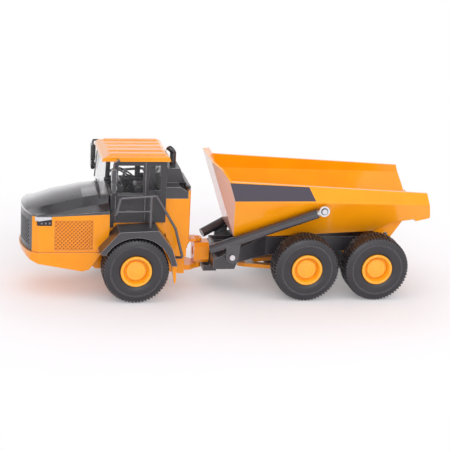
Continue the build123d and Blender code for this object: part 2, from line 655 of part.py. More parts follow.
# Rear frame: cheeks and box at the front, the spine under the bed, ears for the tipping pin
frame_side = [
    (frame_front_x, 13.4), (4.6, 13.4), (6.0, 17.0), (23, frame_low_z - 1), (34, frame_low_z), (84, frame_low_z + 2),
    (88.2, 27.5), (88.2, frame_top_z), (20, frame_top_z), (8, 25.0), (2.7, 23.0), (frame_front_x, 18.6),
]
frame_plan = [
    (frame_front_x, cheek_outside), (6.0, cheek_outside), (22, frame_half_width), (89, frame_half_width),
]
with BuildPart() as rear_frame:
    with BuildSketch(Plane.XZ):
        Polygon(*frame_side, align=None)
    extrude(amount=cheek_outside, both=True)
    with BuildSketch(Plane.XY):
        Polygon(*frame_plan, *[(x, -y) for x, y in reversed(frame_plan)], align=None)
    extrude(amount=40, mode=Mode.INTERSECT)
    # Open tray between the barrels
    with BuildSketch(Plane.XZ):
        Polygon((-5.4, 18), (22, 18), (22, 26.5), (8, 24.1), (-5.4, 24.1), align=None)
    extrude(amount=tray_half_width, both=True)
    with BuildSketch(Plane.XZ):
        Polygon((-5.4 + tray_wall, 21.7), (20, 21.7), (20, 30), (-5.4 + tray_wall, 30), align=None)
    extrude(amount=tray_half_width - tray_wall, both=True, mode=Mode.SUBTRACT)
    # Channel inside the spine, open below
    with BuildSketch(Plane.XZ):
        Polygon((26, 10), (90, 10), (90, frame_top_z - 2), (26, frame_top_z - 2), align=None)
    extrude(amount=frame_half_width - 2.5, both=True, mode=Mode.SUBTRACT)
    # Ears and bosses at the tipping pin
    for side in (-1, 1):
        with BuildSketch(Plane.XZ.offset(side * (frame_half_width - ear_wall))):
            Polygon((80, frame_top_z - 1), (88.2, frame_top_z - 1), (88.2, pivot_z), (83.4, pivot_z), align=None)
            with Locations((pivot_x, pivot_z)):
                Circle(pivot_boss_radius)
        extrude(amount=side * ear_wall)
    # Axle carriers
    for x in (middle_axle_x, rear_axle_x):
        with BuildSketch(Plane.XZ):
            Polygon((x - 6, frame_low_z + 2), (x - 3.4, 15), (x - 1.6, 13.6), (x + 1.6, 13.6), (x + 3.4, 15),
                    (x + 6, frame_low_z + 2), align=None)
        extrude(amount=frame_half_width, both=True)
        with Locations((x, 0, axle_z)):
            Cylinder(3.2, 2 * (tyre_inside - 0.5), rotation=(90, 0, 0))
            Cylinder(axle_radius + running_fit, 2 * track_outside, rotation=(90, 0, 0), mode=Mode.SUBTRACT)
    # Stop block under the knuckle
    with BuildSketch(Plane.XZ):
        Polygon((-10.2, 9.0), (-3, 9.0), (-3, 14), (frame_front_x, 14), (frame_front_x, 12.0), (-10.2, 12.0),
                align=None)
    extrude(amount=6.5, both=True)
    # Bores for the swing pin, the hoist pins and the tipping pin
    with Locations(Location((frame_front_x + 5, 0, swing_z), (0, 90, 0))):
        Cylinder(swing_pin_radius + running_fit, 12, mode=Mode.SUBTRACT)
    with Locations((hoist_pin[0], 0, hoist_pin[1])):
        Cylinder(hoist_pin_radius, 2 * track_outside, rotation=(90, 0, 0), mode=Mode.SUBTRACT)
    with Locations((pivot_x, 0, pivot_z)):
        Cylinder(pivot_pin_radius + running_fit, 2 * track_outside, rotation=(90, 0, 0), mode=Mode.SUBTRACT)
rear_frame.part.label = "rear_frame"
export_step(rear_frame.part, "parts/rear_frame.step")

# Rivets that carry the hoist barrels: shank and domed head
rivet_tip = cheek_outside + hoist_play + lug_wall + joint_gap
with BuildPart() as rivets:
    for side in (-1, 1):
        shank_y = side * (rivet_tip + cheek_outside - cheek_wall) / 2
        with Locations(Location((hoist_pin[0], shank_y, hoist_pin[1]), (90, 0, 0))):
            Cylinder(hoist_pin_radius, rivet_tip - cheek_outside + cheek_wall)
        with BuildSketch(Plane((hoist_pin[0], side * rivet_tip, hoist_pin[1]), x_dir=(1, 0, 0), z_dir=(0, side, 0))):
            Circle(1.75)
        extrude(amount=0.7, taper=25)
rivets.part.label = "hoist_rivets"
export_step(rivets.part, "parts/hoist_rivets.step")

# Orange suspension frame under the spine
with BuildPart() as a_frame:
    with BuildSketch(Plane.XY.offset(10.6)):
        Polygon((9, 3), (12, 5), (33.2, 11), (33.2, 7), (18, 2.4),
                (18, -2.4), (33.2, -7), (33.2, -11), (12, -5), (9, -3), align=None)
    extrude(amount=2.0)
    with BuildSketch(Plane.XZ):
        Polygon((9.2, 12.4), (13, 12.4), (12.2, 17.75), (9.2, 17.35), align=None)
    extrude(amount=2.6, both=True)
a_frame.part.label = "suspension_frame"
export_step(a_frame.part, "parts/suspension_frame.step")


# Bed: lofted trough, front board with its folded wings, guard, lip and ears
def edge_z(x):
    """Height of the side wall's upper edge at the station x."""
    (x0, z0), (x1, z1) = bed_front_top, bed_rear_top
    return z0 + (x - x0) * (z1 - z0) / (x1 - x0)


# Station x, crease z, floor z, floor half width
trough = [
    (-12.0, 54.4, bed_floor_z, bed_floor_half_width),
    (25.3, 53.5, bed_floor_z, bed_floor_half_width),
    (79.0, 52.3, bed_floor_z + 2.8, bed_floor_half_width + 0.5),
    (87.5, 52.1, bed_floor_z + 9.2, bed_floor_half_width + 6.2),
    (99.0, 51.8, bed_floor_z + 11.4, bed_floor_half_width + 8.2),
    (112.0, 51.5, bed_floor_z + 13.4, bed_floor_half_width + 9.6),
]
board_slope = [
    # z, centre x, centre half width, side x
    (26.0, 5.15, 16.2, 10.2),
    (76.0, -11.35, 14.5, -5.6),
]


def trough_solid(inset, rise, crease_rise):
    """Loft of the bed's cross-sections, set in by `inset`, with the edge and the crease raised."""
    with BuildPart() as solid:
        for x, crease_z, floor_z, floor_y in trough:
            half = [(bed_half_width - inset, edge_z(x) + rise), (bed_half_width - inset, crease_z + crease_rise),
                    (floor_y - inset * 0.6, floor_z + inset)]
            with BuildSketch(Plane.YZ.offset(x)):
                Polygon(*[(-y, z) for y, z in half], *reversed(half), align=None)
        loft(ruled=True)
    return solid.part


def board_solid(shift):
    """Everything behind the front board's three leaning planes, moved back by `shift`."""
    far_x = bed_tail_x + 5
    side_y = bed_half_width + 1.6
    with BuildPart() as solid:
        for z, centre_x, centre_y, side_x in board_slope:
            front = [(side_x + shift, side_y), (centre_x + shift, centre_y)]
            with BuildSketch(Plane.XY.offset(z)):
                Polygon((far_x, side_y), *front, *[(x, -y) for x, y in reversed(front)], (far_x, -side_y), align=None)
        loft(ruled=True)
    return solid.part


outer_trough, inner_trough = trough_solid(0, 0, 0), trough_solid(bed_wall, 12, inner_crease_rise)
behind_board, behind_inner_board = board_solid(0), board_solid(bed_wall)
with BuildPart() as hollow:
    add(inner_trough)
    add(behind_inner_board, mode=Mode.INTERSECT)
with BuildPart() as guard:
    with BuildSketch(Plane.YZ.offset(-14)):
        Polygon((1 - wing_fold_y, 50), (-bed_half_width, 54), (-bed_half_width, edge_z(-1.5)), (-wing_fold_y, 68.7),
                (-14.7, guard_top_z), (14.7, guard_top_z), (wing_fold_y, 68.7), (bed_half_width, edge_z(-1.5)),
                (bed_half_width, 54), (wing_fold_y - 1, 50), align=None)
    extrude(amount=30)
    add(behind_board, mode=Mode.INTERSECT)
    add(behind_inner_board, mode=Mode.SUBTRACT)
ear_inside = frame_half_width + joint_gap
# Outline of the bed's ears about the tipping pin
bed_ear = [
    (-8.4, 2.9), (-3.5, -0.9), (-1.3, -2.5), (2.6, -1.9), (4.3, 0.4), (9.8, 8.6), (9.8, 9.8), (1.3, 9.5), (-6.9, 3.3),
]
with BuildPart() as bed:
    add(outer_trough)
    add(behind_board, mode=Mode.INTERSECT)
    add(hollow.part, mode=Mode.SUBTRACT)
    add(guard.part)
    # Tail cut to its slanted end, then the lip under it
    with BuildSketch(Plane.XZ):
        Polygon((-15, 20), (bed_tail_x, 20), (bed_tail_x, 43.2), (bed_tail_x - 1.1, 47.5), (bed_tail_x - 2.2, 50.9),
                bed_rear_top, (bed_rear_top[0], 80), (-15, 80), align=None)
    extrude(amount=bed_half_width + 5, both=True, mode=Mode.INTERSECT)
    with BuildSketch(Plane.XZ):
        Polygon((bed_tail_x - 8, 42.6), (bed_tail_x - 7.6, 41.2), (bed_tail_x, 43.0),
                (bed_tail_x, 43.0 + lip_wall + 1.2), (bed_tail_x - 8, 42.6 + lip_wall), align=None)
    extrude(amount=bed_floor_half_width + 8.2, both=True)
    # Ears on the tipping pin, and bosses behind the hoist eyes
    for side in (-1, 1):
        with BuildSketch(Plane.XZ.offset(side * ear_inside)):
            Polygon(*[(pivot_x + dx, pivot_z + dz) for dx, dz in bed_ear], align=None)
            with Locations((pivot_x, pivot_z)):
                Circle(pivot_boss_radius)
        extrude(amount=side * ear_wall)
        boss_y = side * (hoist_eye.Y - eye_width / 2 - joint_gap)
        with BuildSketch(Plane((hoist_eye.X, boss_y, hoist_eye.Z), x_dir=(1, 0, 0), z_dir=(0, side, 0))):
            Circle(eye_boss_radius)
        extrude(amount=-eye_boss_length)
    with Locations((pivot_x, 0, pivot_z)):
        Cylinder(pivot_pin_radius, 2 * track_outside, rotation=(90, 0, 0), mode=Mode.SUBTRACT)
bed.part.label = "bed"
export_step(bed.part, "parts/bed.step")

with BuildPart() as tipping_pin:
    with Locations((pivot_x, 0, pivot_z)):
        Cylinder(pivot_pin_radius, 2 * (ear_inside + ear_wall), rotation=(90, 0, 0))
tipping_pin.part.label = "tipping_pin"
export_step(tipping_pin.part, "parts/tipping_pin.step")

# Hoist: barrel with its foot lug, and the rod with its eye and rivet head
for side_name, side in (("left", -1), ("right", 1)):
    start = Vector(barrel_start.X, side * barrel_start.Y, barrel_start.Z)
    eye = Vector(hoist_eye.X, side * hoist_eye.Y, hoist_eye.Z)
    along = (eye - start).normalized()
    reach = (eye - start).length
    axis_plane = Plane(origin=start, x_dir=along.cross(Vector(0, 1, 0)), z_dir=along)
    lug_inside = cheek_outside + hoist_play
    with BuildPart() as barrel:
        with BuildSketch(axis_plane):
            Circle(barrel_radius)
        extrude(amount=barrel_length)
        with BuildSketch(Plane.XZ.offset(-side * lug_inside)):
            with Locations(hoist_pin):
                Circle(lug_radius)
            Polygon((hoist_pin[0] - lug_radius, hoist_pin[1]), (hoist_pin[0] + lug_radius, hoist_pin[1]),
                    (hoist_pin[0] + lug_radius + 1.2, 29.6), (hoist_pin[0] - lug_radius, 26.6), align=None)
        extrude(amount=-side * lug_wall)
        with BuildSketch(axis_plane.offset(rod_inside - 0.4)):
            Circle(rod_radius + running_fit)
        extrude(amount=barrel_length, mode=Mode.SUBTRACT)
        with Locations((hoist_pin[0], side * (lug_inside + lug_wall / 2), hoist_pin[1])):
            Cylinder(hoist_pin_radius + joint_gap, lug_wall + 2, rotation=(90, 0, 0), mode=Mode.SUBTRACT)
    barrel.part.label = f"hoist_barrel_{side_name}"
    export_step(barrel.part, f"parts/hoist_barrel_{side_name}.step")
    with BuildPart() as rod:
        with BuildSketch(axis_plane.offset(rod_inside)):
            Circle(rod_radius)
        extrude(amount=reach - rod_inside - eye_radius + 0.4)
        with BuildSketch(Plane((eye.X, eye.Y - side * eye_width / 2, eye.Z), x_dir=(1, 0, 0), z_dir=(0, side, 0))):
            Circle(eye_radius)
        extrude(amount=eye_width)
        with BuildSketch(Plane((eye.X, eye.Y + side * eye_width / 2, eye.Z), x_dir=(1, 0, 0), z_dir=(0, side, 0))):
            Circle(1.7)
        extrude(amount=0.7, taper=25)
    rod.part.label = f"hoist_rod_{side_name}"
    export_step(rod.part, f"parts/hoist_rod_{side_name}.step")
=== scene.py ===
"""Finishes and fine pieces of the toy articulated dump truck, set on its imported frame."""
import logging
import math
from abc import ABC, abstractmethod
from dataclasses import dataclass
from enum import Enum
from typing import Callable, Optional, Sequence

import bmesh
import bpy
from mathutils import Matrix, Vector


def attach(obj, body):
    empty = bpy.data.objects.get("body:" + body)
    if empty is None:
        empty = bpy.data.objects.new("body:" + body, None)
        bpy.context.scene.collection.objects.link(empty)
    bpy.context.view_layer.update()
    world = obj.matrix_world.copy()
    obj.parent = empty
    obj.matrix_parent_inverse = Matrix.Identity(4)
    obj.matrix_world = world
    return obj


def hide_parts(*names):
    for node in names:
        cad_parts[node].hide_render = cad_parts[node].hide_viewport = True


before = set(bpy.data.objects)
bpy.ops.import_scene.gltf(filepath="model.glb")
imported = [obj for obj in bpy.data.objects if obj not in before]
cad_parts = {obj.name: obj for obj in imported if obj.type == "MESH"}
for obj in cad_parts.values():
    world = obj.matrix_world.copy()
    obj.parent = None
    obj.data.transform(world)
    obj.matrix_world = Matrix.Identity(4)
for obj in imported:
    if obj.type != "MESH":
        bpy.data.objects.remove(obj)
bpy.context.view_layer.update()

MM = 0.001
FRONT_BODY = "front_unit"
# Height of the wheels' hubs in millimetres
HUB_Z = 17.2
# Rounded edges in the materials: samples, the cosine of the turn where edge wear and painted edge
# highlights begin, and their fullest share
EDGE_SAMPLES = 4
WEAR_AND_HIGHLIGHT_BEGINS = 0.995
WEAR_AND_HIGHLIGHT_SHARE = 0.75
log = logging.getLogger("truck")

Socket = bpy.types.NodeSocket
Settings = dict[str | int, object]
Links = dict[str | int, Socket]
Pair = tuple[float, float]
Place = tuple[float, float, float]


class Tagged(Enum):
    """Named options that take part in the names of pieces."""

    @property
    def tag(self) -> str:
        """The option's name in lower case."""
        return self.name.lower()


class Side(Tagged):
    """The two sides of the truck, as the sign of Y."""

    LEFT = -1
    RIGHT = 1


class Axle(Tagged):
    """The axles, with the X of their centre in millimetres."""

    FRONT = -49.2
    MIDDLE = 40.4
    REAR = 78.1

    @property
    def body(self) -> str:
        """The body that turns on this axle."""
        return f"wheelset_{self.tag}"


class Slot(Enum):
    """The record's material slots."""

    ORANGE = "orange_paint"
    RIM = "rim_paint"
    BLACK = "black_plastic"
    GREY = "grey_plastic"
    LAMP = "lamp_plastic"
    SILVER = "silver_metal"
    TYRE = "tyre_rubber"


def srgb(code: str) -> tuple[float, float, float, float]:
    """Turns an sRGB hex colour into the linear colour that a shader takes.

    Args:
        code: six hex digits after a #.

    Returns:
        Red, green, blue and an alpha of 1.
    """
    channels = [int(code[i:i + 2], 16) / 255 for i in (1, 3, 5)]
    return (*[c / 12.92 if c <= 0.04045 else ((c + 0.055) / 1.055) ** 2.4 for c in channels], 1.0)


def node(tree: bpy.types.NodeTree, kind: str, settings: Optional[Settings] = None,
         links: Optional[Links] = None) -> bpy.types.Node:
    """Adds a shader node with its settings and links.

    Args:
        tree: the tree that gets the node.
        kind: the node's type, without its leading ShaderNode.
        settings: values by input name or number, or by the node's property name, in the order to set them.
        links: sockets to connect, by input name or number.

    Returns:
        The new node.
    """
    made = tree.nodes.new("ShaderNode" + kind)
    for key, value in (settings or {}).items():
        if isinstance(key, int) or key in made.inputs:
            made.inputs[key].default_value = value
        else:
            setattr(made, key, value)
    for key, source in (links or {}).items():
        tree.links.new(source, made.inputs[key])
    return made


@dataclass
class Ground:
    """A material in the making: one Principled shader, and the object's coordinates in millimetres."""

    material: bpy.types.Material
    tree: bpy.types.NodeTree
    shader: bpy.types.Node
    place: Socket
    normal: Socket


def ground(name: str, settings: Settings) -> Ground:
    """Starts a material.

    Args:
        name: the material's name.
        settings: values for the Principled shader's sockets.

    Returns:
        The material with its tree, shader and coordinates.
    """
    material = bpy.data.materials.new(name)
    material.use_nodes = True
    tree = material.node_tree
    tree.nodes.clear()
    shader = node(tree, "BsdfPrincipled", settings)
    node(tree, "OutputMaterial", {}, {"Surface": shader.outputs[0]})
    origin = node(tree, "TexCoord")
    scaled = node(tree, "Mapping", {"Scale": (1 / MM,) * 3}, {"Vector": origin.outputs["Object"]})
    return Ground(material, tree, shader, scaled.outputs[0], origin.outputs["Normal"])


def relief(base: Ground, grain_mm: float, depth_mm: float, edge_mm: float,
           raised: Optional[Socket] = None) -> None:
    """Gives a surface its grain, on edges rounded as a casting or moulding has them.

    Args:
        base: the material in the making.
        grain_mm: width of one grain.
        depth_mm: height of one grain.
        edge_mm: radius of the rounded edges.
        raised: a further height in millimetres, if the surface has one.
    """
    tree = base.tree
    grain = node(tree, "TexNoise", {"Scale": 1 / grain_mm, "Detail": 2.0}, {"Vector": base.place})
    height = node(tree, "Math", {"operation": "MULTIPLY", 1: depth_mm}, {0: grain.outputs[0]}).outputs[0]
    if raised is not None:
        height = node(tree, "Math", {"operation": "ADD"}, {0: height, 1: raised}).outputs[0]
    rounded = node(tree, "Bevel", {"samples": EDGE_SAMPLES, "Radius": edge_mm * MM})
    bumped = node(tree, "Bump", {"Strength": 1.0, "Distance": MM},
                  {"Height": height, "Normal": rounded.outputs[0]})
    tree.links.new(bumped.outputs[0], base.shader.inputs["Normal"])


def edges_worn_and_highlit(base: Ground, colour: Socket, bare: str, edge_mm: float, cosine: float) -> Socket:
    """Lets another colour show where a rounded edge turns away from the flat beside it: wear and painted
    highlight.

    Args:
        base: the material in the making.
        colour: its colour so far.
        bare: the colour of the edges, as sRGB hex.
        edge_mm: radius of the rounded edges.
        cosine: cosine of the turn at which the edge's colour is at its fullest.

    Returns:
        The colour with its edges.
    """
    tree = base.tree
    flat = node(tree, "NewGeometry")
    rounded = node(tree, "Bevel", {"samples": EDGE_SAMPLES, "Radius": edge_mm * MM})
    agree = node(tree, "VectorMath", {"operation": "DOT_PRODUCT"},
                 {0: flat.outputs["Normal"], 1: rounded.outputs[0]})
    edge = node(tree, "MapRange", {"From Min": WEAR_AND_HIGHLIGHT_BEGINS, "From Max": cosine, "To Max": WEAR_AND_HIGHLIGHT_SHARE},
                {"Value": agree.outputs["Value"]})
    worn = node(tree, "Mix", {"data_type": "RGBA", 7: srgb(bare)}, {"Factor": edge.outputs[0], 6: colour})
    return worn.outputs[2]


def painted_sheen_aslant(base: Ground, colour: Socket, sheen_tone: str, facing: Pair, share: float,
                 where: Optional[Socket] = None) -> Socket:
    """Paints a sheen: turns a colour paler where one looks along the surface.

    Args:
        base: the material in the making.
        colour: its colour so far.
        sheen_tone: the colour it turns to, as sRGB hex.
        facing: the Layer Weight facing at which that begins and at which it is complete.
        share: how much of the sheen's colour there is then.
        where: a mask that keeps it to a part of the surface.

    Returns:
        The colour with its painted sheen.
    """
    tree = base.tree
    turn = node(tree, "LayerWeight", {"Blend": 0.5})
    factor = node(tree, "MapRange", {"From Min": facing[0], "From Max": facing[1], "To Max": share},
                  {"Value": turn.outputs["Facing"]}).outputs[0]
    if where is not None:
        factor = node(tree, "Math", {"operation": "MULTIPLY"}, {0: where, 1: factor}).outputs[0]
    return node(tree, "Mix", {"data_type": "RGBA", 7: srgb(sheen_tone)}, {"Factor": factor, 6: colour}).outputs[2]


def off_middle(base: Ground) -> Socket:
    """Measures how far a point lies from the truck's middle plane.

    Args:
        base: the material in the making.

    Returns:
        The distance in millimetres.
    """
    split = node(base.tree, "SeparateXYZ", {}, {0: base.place})
    return node(base.tree, "Math", {"operation": "ABSOLUTE"}, {0: split.outputs["Y"]}).outputs[0]


def hub_radius(base: Ground, centre: Place) -> Socket:
    """Measures how far a point lies from a line along Y.

    Args:
        base: the material in the making.
        centre: a point on that line in millimetres.

    Returns:
        The distance in millimetres.
    """
    about = node(base.tree, "VectorMath", {"operation": "SUBTRACT", 1: centre}, {0: base.place})
    flat = node(base.tree, "VectorMath", {"operation": "MULTIPLY", 1: (1, 0, 1)}, {0: about.outputs[0]})
    return node(base.tree, "VectorMath", {"operation": "LENGTH"}, {0: flat.outputs[0]}).outputs["Value"]


class Finish(ABC):
    """The finish of a piece: a real material and how its surface was made."""

    @abstractmethod
    def material(self) -> bpy.types.Material:
        """Makes the finish's material."""


@dataclass(frozen=True)
class SprayedZinc(Finish):
    """Die-cast zinc under spray enamel: an even, warm orange that a painted sheen whitens where one looks
    along it, with the casting's edges a shade lighter, partly where the paint is thinner and partly as
    painted highlights."""

    name: str = "sprayed_zinc_enamel"
    colour: str = "#F7990C"
    pooled: str = "#F1900A"
    thin_and_highlit: str = "#FFCE85"
    aslant_sheen: str = "#FFDCC8"
    roughness: float = 0.45
    coat: float = 0.9
    coat_roughness: float = 0.12
    # Pools of thicker paint: their size, the noise between which they grow, and their share
    pool_mm: float = 12.0
    pool_levels: Pair = (0.4, 0.75)
    pool_share: float = 0.6
    # Cosine of the turn where an edge's paint is thinnest and its painted highlight brightest
    thin_and_highlit_cosine: float = 0.86
    # The facings between which the painted sheen grows, and its share
    aslant_sheen_facing: Pair = (0.6, 0.9)
    aslant_sheen_share: float = 0.75
    # Spray droplets, drawn coarser than the real ones so that they show
    droplet_mm: float = 0.5
    droplet_depth_mm: float = 0.004
    edge_mm: float = 0.3

    def lay(self) -> tuple[Ground, Socket]:
        """Lays the enamel.

        Returns:
            The material in the making and its colour.
        """
        base = ground(self.name, {"Base Color": srgb(self.colour), "Roughness": self.roughness, "IOR": 1.45,
                                  "Specular Tint": srgb(self.pooled), "Coat Weight": self.coat,
                                  "Coat Roughness": self.coat_roughness})
        tree = base.tree
        # Enamel pools a little in broad patches
        pools = node(tree, "TexNoise", {"Scale": 1 / self.pool_mm, "Detail": 1.0}, {"Vector": base.place})
        spread = node(tree, "MapRange", {"From Min": self.pool_levels[0], "From Max": self.pool_levels[1],
                                         "To Max": self.pool_share}, {"Value": pools.outputs[0]})
        patched = node(tree, "Mix", {"data_type": "RGBA", 6: srgb(self.colour), 7: srgb(self.pooled)},
                       {"Factor": spread.outputs[0]})
        # Edges lighten where paint is thinnest and as painted highlights; a painted sheen whitens faces seen
        # aslant
        worn = edges_worn_and_highlit(base, patched.outputs[2], self.thin_and_highlit, self.edge_mm, self.thin_and_highlit_cosine)
        return base, painted_sheen_aslant(base, worn, self.aslant_sheen, self.aslant_sheen_facing, self.aslant_sheen_share)

    def complete(self, base: Ground, colour: Socket) -> bpy.types.Material:
        """Gives the enamel its final colour and its fine spray droplets.

        Args:
            base: the material in the making.
            colour: its colour.

        Returns:
            The material.
        """
        base.tree.links.new(colour, base.shader.inputs["Base Color"])
        relief(base, self.droplet_mm, self.droplet_depth_mm, self.edge_mm)
        return base.material

    def material(self) -> bpy.types.Material:
        """Makes the plain enamel."""
        return self.complete(*self.lay())


@dataclass(frozen=True)
class PocketedZinc(SprayedZinc):
    """The side panels' enamel, deeper and browner in the pockets behind the mesh plates, where little
    light falls."""

    name: str = "sprayed_zinc_pocketed"
    shaded: str = "#A9540C"
    shaded_share: float = 0.7
    pocket_floor_y: float = 21.3
    # Middle of the mesh plates, and half their length and height
    field_middle: Place = (-80.6, 0, 33.7)
    field_half: Pair = (9.9, 8.0)
    soft_mm: float = 0.1

    def material(self) -> bpy.types.Material:
        """Makes the enamel with its dark pockets.

        Returns:
            The material.
        """
        base, colour = self.lay()
        tree = base.tree
        deep = node(tree, "MapRange", {"From Min": self.pocket_floor_y + self.soft_mm,
                                       "From Max": self.pocket_floor_y, "To Max": self.shaded_share},
                    {"Value": off_middle(base)})
        # The panels curve inwards towards the nose, so the tint also keeps inside the mesh's own field
        from_middle = node(tree, "VectorMath", {"operation": "SUBTRACT", 1: self.field_middle},
                           {0: base.place})
        size = node(tree, "VectorMath", {"operation": "ABSOLUTE"}, {0: from_middle.outputs[0]})
        reach = node(tree, "SeparateXYZ", {}, {0: size.outputs[0]})
        factor = deep.outputs[0]
        for axis, half in zip("XZ", self.field_half):
            inside = node(tree, "MapRange", {"From Min": half, "From Max": half - self.soft_mm},
                          {"Value": reach.outputs[axis]})
            factor = node(tree, "Math", {"operation": "MULTIPLY"},
                          {0: factor, 1: inside.outputs[0]}).outputs[0]
        dark = node(tree, "Mix", {"data_type": "RGBA", 7: srgb(self.shaded)}, {"Factor": factor, 6: colour})
        return self.complete(base, dark.outputs[2])


@dataclass(frozen=True)
class StripedZinc(SprayedZinc):
    """The bed's enamel: a yellower orange that paints the light on the bed, with a flat charcoal stripe
    printed below the upper edge of both walls, and a painted sheen that turns the front board nearly white
    from the side."""

    name: str = "sprayed_zinc_striped"
    # The bed and the front unit share one enamel; the bed's is painted yellower for the light that falls on
    # it
    colour: str = "#FFA308"
    pooled: str = "#FB9906"
    stripe: str = "#383F50"
    board_sheen: str = "#FFE8EA"
    # The stripe's corners as X and Z, its lower edge, and the Y beyond which a face is an outer wall
    top_front: Pair = (-1.3, 63.7)
    top_rear: Pair = (39.1, 61.6)
    low_rear: Pair = (43.3, 53.9)
    low_z: float = 54.0
    wall_y: float = 29.8
    wall_soft_mm: float = 0.2
    soft_mm: float = 0.06
    # The front board: how far its faces look forward, its share of painted sheen, and the facing that it
    # shows at
    board_cosine: Pair = (0.3, 0.55)
    board_share: float = 0.85
    board_facing: Pair = (0.42, 0.7)

    def stripe_mask(self, base: Ground) -> Socket:
        """Marks the stripe on the walls' outer faces.

        Args:
            base: the material in the making.

        Returns:
            A mask that is 1 on the stripe.
        """
        tree = base.tree
        # Each border is a line in the side view: its inward normal and how far it lies from the origin
        borders = []
        for (x0, z0), (x1, z1) in ((self.top_front, self.top_rear), (self.top_rear, self.low_rear)):
            inward = Vector((z1 - z0, 0, x0 - x1)).normalized()
            borders.append((inward, inward.x * x0 + inward.z * z0))
        borders.append((Vector((0, 0, 1)), self.low_z))
        mask = node(tree, "MapRange", {"From Min": self.wall_y, "From Max": self.wall_y + self.wall_soft_mm},
                    {"Value": off_middle(base)}).outputs[0]
        for inward, offset in borders:
            reach = node(tree, "VectorMath", {"operation": "DOT_PRODUCT", 1: inward}, {0: base.place})
            inside = node(tree, "MapRange", {"From Min": offset - self.soft_mm,
                                             "From Max": offset + self.soft_mm},
                          {"Value": reach.outputs["Value"]})
            mask = node(tree, "Math", {"operation": "MINIMUM"}, {0: mask, 1: inside.outputs[0]}).outputs[0]
        return mask

    def material(self) -> bpy.types.Material:
        """Makes the enamel with its stripe and its pale front board.

        Returns:
            The material.
        """
        base, colour = self.lay()
        tree = base.tree
        printed = node(tree, "Mix", {"data_type": "RGBA", 7: srgb(self.stripe)},
                       {"Factor": self.stripe_mask(base), 6: colour})
        # A painted sheen turns the front board's forward faces nearly white where one looks along them
        forward = node(tree, "VectorMath", {"operation": "DOT_PRODUCT", 1: (-1, 0, 0)}, {0: base.normal})
        board = node(tree, "MapRange", {"From Min": self.board_cosine[0], "From Max": self.board_cosine[1],
                                        "To Max": self.board_share}, {"Value": forward.outputs["Value"]})
        paled = painted_sheen_aslant(base, printed.outputs[2], self.board_sheen, self.board_facing, 1.0,
                             board.outputs[0])
        return self.complete(base, paled)


@dataclass(frozen=True)
class MouldedStyrene(Finish):
    """Injection-moulded black styrene: a dark grey that shines softly, with the mould's fine spark-eroded
    grain, and edges made lighter partly by wear and partly as painted highlights."""

    name: str = "moulded_styrene"
    colour: str = "#302E33"
    flow: str = "#37353A"
    rubbed_and_highlit: str = "#8A888F"
    sheen_tone: str = "#C9C7CD"
    roughness: float = 0.36
    coat: float = 0.35
    coat_roughness: float = 0.2
    # How much a painted sheen whitens the moulding where one looks along it, and the facing at which it does
    grazing_sheen: float = 0.0
    grazing_sheen_facing: Pair = (0.4, 0.8)
    # Streaks of melt flow: their size, the noise between which they grow, and what they add to the roughness
    flow_mm: float = 6.0
    flow_levels: Pair = (0.3, 0.7)
    flow_roughness: Pair = (-0.05, 0.08)
    # Cosine of the turn where an edge is worn most and its painted highlight brightest
    rubbed_and_highlit_cosine: float = 0.88
    grain_mm: float = 0.25
    grain_depth_mm: float = 0.004
    edge_mm: float = 0.25

    def material(self) -> bpy.types.Material:
        """Makes the plastic.

        Returns:
            The material.
        """
        base = ground(self.name, {"Base Color": srgb(self.colour), "Roughness": self.roughness, "IOR": 1.59,
                                  "Coat Weight": self.coat, "Coat Roughness": self.coat_roughness})
        tree = base.tree
        # Melt flow shows as broad, faint differences in tone and gloss
        flow = node(tree, "TexNoise", {"Scale": 1 / self.flow_mm, "Detail": 3.0}, {"Vector": base.place})
        toned = node(tree, "Mix", {"data_type": "RGBA", 6: srgb(self.colour), 7: srgb(self.flow)},
                     {"Factor": flow.outputs[0]})
        smoother, rougher = self.flow_roughness
        gloss = node(tree, "MapRange", {"From Min": self.flow_levels[0], "From Max": self.flow_levels[1],
                                        "To Min": self.roughness + smoother,
                                        "To Max": self.roughness + rougher},
                     {"Value": flow.outputs[0]})
        # Edges turn a lighter grey, partly polished by handling and partly as painted highlights
        worn = edges_worn_and_highlit(base, toned.outputs[2], self.rubbed_and_highlit, self.edge_mm, self.rubbed_and_highlit_cosine)
        # A painted sheen whitens faces that one looks along
        sheened = painted_sheen_aslant(base, worn, self.sheen_tone, self.grazing_sheen_facing, self.grazing_sheen)
        tree.links.new(sheened, base.shader.inputs["Base Color"])
        tree.links.new(gloss.outputs[0], base.shader.inputs["Roughness"])
        relief(base, self.grain_mm, self.grain_depth_mm, self.edge_mm)
        return base.material


@dataclass(frozen=True)
class MouldedVinyl(MouldedStyrene):
    """Moulded soft vinyl of the tyres: darker and duller than the styrene, paler in patches where dust sits,
    with light lines painted along its ribs and lugs as highlights."""

    name: str = "moulded_vinyl"
    colour: str = "#1D1B20"
    flow: str = "#2B2930"
    rubbed_and_highlit: str = "#8E8C94"
    roughness: float = 0.42
    coat: float = 0.0
    flow_mm: float = 5.0
    grain_mm: float = 0.3
    grain_depth_mm: float = 0.008
    edge_mm: float = 0.22


